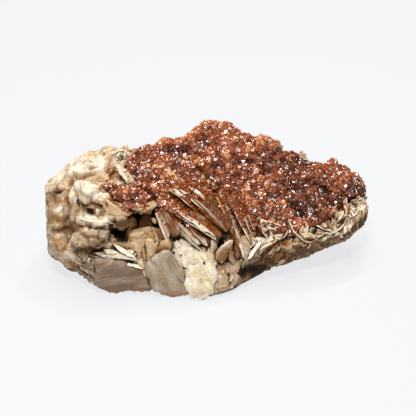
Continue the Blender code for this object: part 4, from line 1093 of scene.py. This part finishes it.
# How dark clay and painted shade make each plate, the turn of its grain in radians, and the height of its
# ribs
PLATES = {
    "tongue_plate": (0.0, 0.5, 0.36),
    "shell_plate": (0.72, 0.35, 0.12),
    "grey_plate": (1.0, 1.3, 0.12),
}
# Cleaved barite: its fine steps scatter the light to a satin, and clay and painted shade dull it to a
# greyish brown
satin = barite("cleaved_barite", "#fdf5e2", "#e3d0a6", "#7c6450", "#a8703c", 0.42, recess=1.8,
               cleft_shade="#7a5836")

for number, (name, (shade, turn, rib_height)) in enumerate(PLATES.items()):
    middle, way = plane_of(packed(name)[0])
    points, triangles = remeshed(name, PLATE_CELL)
    points = relaxed(points, triangles, PLATE_SMOOTHING)
    across = unit(np.cross([0, 0, 1.0], way))
    u, v = (points - middle) @ across, (points - middle) @ np.cross(way, across)
    over, down = u * math.cos(turn) + v * math.sin(turn), v * math.cos(turn) - u * math.sin(turn)
    outward = point_normals(points, triangles)
    face_on = np.abs(outward @ way)
    push = 0.55 + cleaved(u, v, SPLIT_SPACING, SPLIT_TILT) * face_on + 0.14 * ripple(points, 2.6, 19)
    push += 0.25 * ripple(points, 5.5, 20)
    ribs = 1 - 2.2 * np.abs(ripple(np.stack([over, 0.18 * down, 0 * u], 1), RIB_SPACING, 21 + number))
    push += rib_height * ribs * face_on
    footing = 1 - ease(points[:, 2], 1.0, 3.4)
    ragged = (1 - face_on) * (0.35 + 0.6 * ripple(points, 1.5, 24) + 1.0 * ripple(points, 3.2, 25))
    points = points + outward * (push + ragged + 0.5 * footing * ripple(points, 1.4, 37))[:, None]
    points[:, 2] = np.maximum(points[:, 2], 0.05)
    fibre = ripple(np.stack([over, 0.15 * down, 0 * u], 1), 0.6, 40)
    cloud = 0.9 + 0.25 * ripple(np.stack([over, 0.3 * down, 0 * u], 1), 2.0, 16)
    # Darker towards the bottom, in proportion to the plate's shade
    cloud = cloud + 0.3 * ease(-v, 0.2 * np.ptp(v), 0.5 * np.ptp(v))
    show(name + "_crystal", points, triangles, satin, "barite_blades", [name], 50,
         stain=0.15 + 0.2 * ripple(points, 6.0, 10) + 0.9 * footing, tone=shade * cloud + 0.16 * fibre,
         edge=0.8 * ease(ribs, 0.6, 1.0) + (1 - face_on))


# Vanadinite, a lead chloride vanadate, coats the top as a druse: thousands of short six-sided prisms, each
# about two thirds of a millimetre across, that grew side by side on a brown seam over the barite.
CRUST_CELL = 0.62
CRUST_SMOOTHING = 8
PRISM_COUNTS = {"vanadinite_crust": 23000, "vanadinite_ledge_patch": 700}
PRISMS_A_PIECE = 7500
PRISM_RADIUS, PRISM_SPREAD, PRISM_LEAN = 0.33, 0.28, 0.42
PRISM_CORNERS = 12
# Where the druse is thin and pale barite shows through, as a reach about picture pixels
THIN_PLACES = [
    (2.2, [(160, 164), (168, 172), (174, 176)]), (1.6, [(216, 218), (228, 219), (243, 217)]),
    (1.2, [(281, 150), (289, 154)]), (1.2, [(306, 159), (314, 164)]), (1.3, [(204, 177), (212, 182)]),
    (1.4, [(268, 213), (280, 220)]), (1.2, [(330, 210), (338, 205)]), (1.2, [(143, 160), (150, 168)]),
]
# Knobs and crevices of the crust: half width, height, and the line of picture pixels that each follows
CRUST_FORMS = [
    (2.0, 0.6, [(203, 127), (212, 124), (221, 128)]), (1.2, 1.1, [(232, 128), (238, 129)]),
    (1.1, -1.3, [(246, 137), (252, 141), (257, 146)]), (1.4, 1.0, [(259, 141), (267, 142), (275, 147)]),
    (2.2, 1.2, [(322, 170), (333, 168), (344, 178)]), (1.0, -1.6, [(316, 184), (323, 188), (331, 193)]),
    (1.2, -1.6, [(164, 150), (174, 148), (184, 150)]), (1.1, -1.4, [(250, 161), (260, 165), (268, 170)]),
    (1.2, -1.6, [(294, 206), (299, 211), (302, 217)]), (0.9, -1.2, [(186, 136), (192, 133), (197, 136)]),
    (0.9, -1.1, [(284, 184), (289, 189)]), (0.9, -1.2, [(158, 177), (165, 181), (172, 186)]),
    (0.9, -1.1, [(138, 190), (146, 192), (154, 197)]), (0.8, -1.0, [(266, 193), (273, 198)]),
    (1.6, 0.8, [(158, 143), (166, 142), (174, 143)]), (1.5, 0.7, [(228, 190), (238, 196), (248, 203)]),
    (1.4, 0.8, [(301, 180), (310, 176)]), (1.0, -1.0, [(215, 165), (224, 169), (232, 176)]),
]


def seam(name):
    """Points, triangles, facing, relief and bareness of the ground that the prisms grow from."""
    points, triangles = remeshed(name, CRUST_CELL)
    points = relaxed(points, triangles, CRUST_SMOOTHING)
    facing = point_normals(points, triangles)
    swell = 2 * np.abs(ripple(points, 5.2, 11)) - 0.6
    knob = 2 * np.abs(ripple(points, 2.4, 12)) - 0.5
    tree = tree_of(points, triangles)
    carved = raised(tree, points, CRUST_FORMS)
    bare = raised(tree, points, [(reach, 1, pixels) for reach, pixels in THIN_PLACES])
    bare = np.clip(bare * (1.2 + 1.2 * ripple(points, 1.8, 17)), 0, 1)
    lift = 0.9 * swell + 1.0 * knob + 1.3 * carved - 0.5 * bare
    points = points + facing * (lift * ease(facing[:, 2], -0.2, 0.4))[:, None]
    points = np.clip(points, low + 0.1, high - 0.9)
    relief = ease(0.6 * swell + 0.9 * knob + carved, -1.2, 1.0)
    return points, triangles, point_normals(points, triangles), relief, bare


def prisms(feet, facing, radius, height):
    """Short hexagonal prisms, one on each foot, as one mesh."""
    count = len(feet)
    side = unit(np.cross(facing, dice.normal(size=(count, 3))))
    other = np.cross(facing, side)
    rings = []
    for share in (-0.9, 1.0):
        for k in range(6):
            out = side * math.cos(math.tau * k / 6) + other * math.sin(math.tau * k / 6)
            rings.append(feet + facing * (height * share)[:, None] + out * radius[:, None])
    one = [(6, 6 + k, 7 + k) for k in range(1, 5)] + [(0, k + 1, k) for k in range(1, 5)]
    for k in range(6):
        j = (k + 1) % 6
        one += [(k, j, 6 + j), (k, 6 + j, 6 + k)]
    triangles = np.array(one)[None] + PRISM_CORNERS * np.arange(count)[:, None, None]
    return np.stack(rings, 1).reshape(-1, 3), triangles.reshape(-1, 3)


def scattered(points, triangles, weight, count):
    """Places drawn over a surface by a weight at its points, the way each faces, and a point near each."""
    across = face_vectors(points, triangles)
    area = np.linalg.norm(across, axis=1) * weight[triangles].mean(1)
    chosen = dice.choice(len(triangles), count, p=area / area.sum())
    a, b, c = (points[triangles[chosen, k]] for k in range(3))
    s, t = dice.uniform(size=(2, count, 1))
    flip = s + t > 1
    s, t = np.where(flip, 1 - s, s), np.where(flip, 1 - t, t)
    return a * (1 - s - t) + b * s + c * t, unit(across[chosen]), triangles[chosen, 0]


# Vanadinite has an adamantine lustre: bright points of light on a deep colour that differs by crystal,
# with painted shade in the crust's crevices and painted light on its knobs
adamantine, tree, shares = mineral("adamantine_vanadinite", {}, ("tone",), (0.35, 2.0, 0.12, 0.8), 0.17,
                                   ior=2.35, gloss=0.4)
tan = add(tree, "MapRange", {"Value": shares["tone"], "From Min": 0.88, "From Max": 1.0}).outputs[0]
coloured(tree, "#3a150a", [(shares["tone"], "#c47348"), (tan, "#e0a878")])

# The seam between the prisms is an earthy mass of the same minerals, matt, and pale where it is bare
seam_patterns = {"cloud": (3.0, 4.0, 0.45, 0.65)}
brown_seam, tree, shares = mineral("brown_seam", seam_patterns, ("bare",), (0.5, 4.0, 0.4, 1.0), 0.55)
coloured(tree, "#5c2c18", [(shares["cloud"], "#a87048"), (shares["bare"], "#e0bd8c")])

for name, count in PRISM_COUNTS.items():
    points, triangles, facing, relief, bare = seam(name)
    show(name + "_seam", points, triangles, brown_seam, "vanadinite_crystals", [name], 60, bare=bare)
    weight = ease(facing[:, 2], -0.15, 0.25) * (1.05 - bare)
    feet, growing, chosen = scattered(points, triangles, weight, count)
    growing = unit(growing + dice.normal(0, PRISM_LEAN, (count, 3)))
    radius = PRISM_RADIUS * dice.lognormal(0, PRISM_SPREAD, count)
    crystals, faces = prisms(feet, growing, radius, radius * dice.uniform(0.5, 1.4, count))
    # Crystals in the crust's crevices are painted darker as shade and those on its knobs lighter as light;
    # the tone also falls towards the right
    tone = 0.85 * relief[chosen] + dice.uniform(-0.2, 0.35, count) - 0.24 * ease(feet[:, 0], 12.0, 34.0)
    tone = np.repeat(np.clip(tone + 0.35 * ripple(feet, 6.0, 38), 0.12, 1), PRISM_CORNERS)
    for part, first in enumerate(range(0, len(crystals), PRISMS_A_PIECE * PRISM_CORNERS)):
        span = slice(first, first + PRISMS_A_PIECE * PRISM_CORNERS)
        own = faces[faces[:, 0] // (PRISMS_A_PIECE * PRISM_CORNERS) == part] - first
        show(f"{name}_prisms_{part + 1}", crystals[span], own, adamantine, "vanadinite_crystals",
             tone=tone[span])


# Single prisms of vanadinite have strayed onto the blades and the lump beside the crust. They are smaller
# than those of the druse, and fewer with distance, but for two strips along the sheaf that carry many.
STRAY_ON_BLADES, STRAY_ON_LUMP = 4200, 900
STRAY_RADIUS = 0.24
FRONT_STRIP = np.array([(-15.8, -14.4, 29.2), (-8.0, -16.6, 25.0)])
RIGHT_STRIP = [(223, 195), (231, 204), (239, 215)]
blade_points, blade_faces, _ = together(sheaf_surfaces)
near = distance_to(crust_trees, blade_points, 7.0)
upward = ease(point_normals(blade_points, blade_faces)[:, 2], 0.0, 0.6)
strip = bell(from_line(blade_points, FRONT_STRIP) / 1.6)
strip = strip + 0.8 * bell(from_line(blade_points, on_surface(front_tree, RIGHT_STRIP)) / 1.1)
weight = upward * (np.exp(-near / 1.9) + 0.0015 + 4.0 * strip)
weight[-hollow_points:] *= 5.0 * (near[-hollow_points:] < 2.4)
strays = [scattered(blade_points, blade_faces, weight, STRAY_ON_BLADES)]
weight = np.exp(-from_crust / 1.1) * ease(lump_facing[:, 2], -0.3, 0.4) + 0.0008
strays.append(scattered(lump, lump_faces, weight, STRAY_ON_LUMP))
feet, growing = (np.concatenate([part[k] for part in strays]) for k in range(2))
growing = unit(growing + dice.normal(0, 0.3, growing.shape))
radius = STRAY_RADIUS * dice.lognormal(0, 0.3, len(feet))
points, triangles = prisms(feet, growing, radius, radius * dice.uniform(0.7, 1.5, len(feet)))
show("stray_prisms", points, triangles, adamantine, "vanadinite_crystals",
     tone=np.repeat(dice.uniform(0.2, 1, len(feet)), PRISM_CORNERS))


# The floor is a plain sheet of white paper, 6 m wide so that its edge never shows, lit by soft studio
# lamps. The paper glows a little, as paper that is lit evenly from beyond the picture does.
FLOOR_HALF = 3.0
SIDES = [(-FLOOR_HALF, -FLOOR_HALF, 0), (FLOOR_HALF, -FLOOR_HALF, 0), (FLOOR_HALF, FLOOR_HALF, 0),
         (-FLOOR_HALF, FLOOR_HALF, 0)]
mesh = bpy.data.meshes.new("floor")
mesh.from_pydata(SIDES, [], [(0, 1, 2, 3)])
paper = bpy.data.materials.new("white_paper")
paper.use_nodes = True
sheet = paper.node_tree.nodes["Principled BSDF"]
for socket, value in (("Base Color", paint("#5a5b5d")), ("Roughness", 0.9),
                      ("Emission Color", paint("#f6f7f9")), ("Emission Strength", 0.69)):
    sheet.inputs[socket].default_value = value
mesh.materials.append(paper)
floor = placed("floor", mesh)

# Round lamps: the place in metres, the width, and the power in watts
LAMPS = {
    "overhead": ((-0.05, 0.08, 0.60), 0.40, 1.6),
    "key": ((-0.04, -0.34, 0.55), 0.14, 2.35),
    "front_fill": ((-0.25, -0.60, 0.25), 0.40, 0.15),
    "glint": ((0.10, 0.25, 0.50), 0.05, 0.8),
}
for name, (place, width, power) in LAMPS.items():
    light = bpy.data.lights.new(name, "AREA")
    light.shape = "DISK"
    light.size = width
    light.energy = power
    lamp = placed(name, light)
    lamp.location = place
    lamp.rotation_mode = "QUATERNION"
    lamp.rotation_quaternion = (lamp.location - Vector(AIM * MM)).to_track_quat("Z", "Y")
world = bpy.data.worlds.new("studio")
bpy.context.scene.world = world
world.use_nodes = True
world.node_tree.nodes["Background"].inputs["Color"].default_value = paint("#fff6ea")
world.node_tree.nodes["Background"].inputs["Strength"].default_value = 0.12

lens = bpy.data.cameras.new("camera")
lens.lens = LENS
lens.sensor_width = SENSOR
camera = placed("camera", lens)
camera.location = EYE * MM
camera.rotation_euler = (math.pi / 2 - VIEW_TILT, 0, 0)
bpy.context.scene.camera = camera
bpy.context.scene.view_settings.view_transform = "Standard"
bpy.context.scene.view_settings.look = "Medium High Contrast"
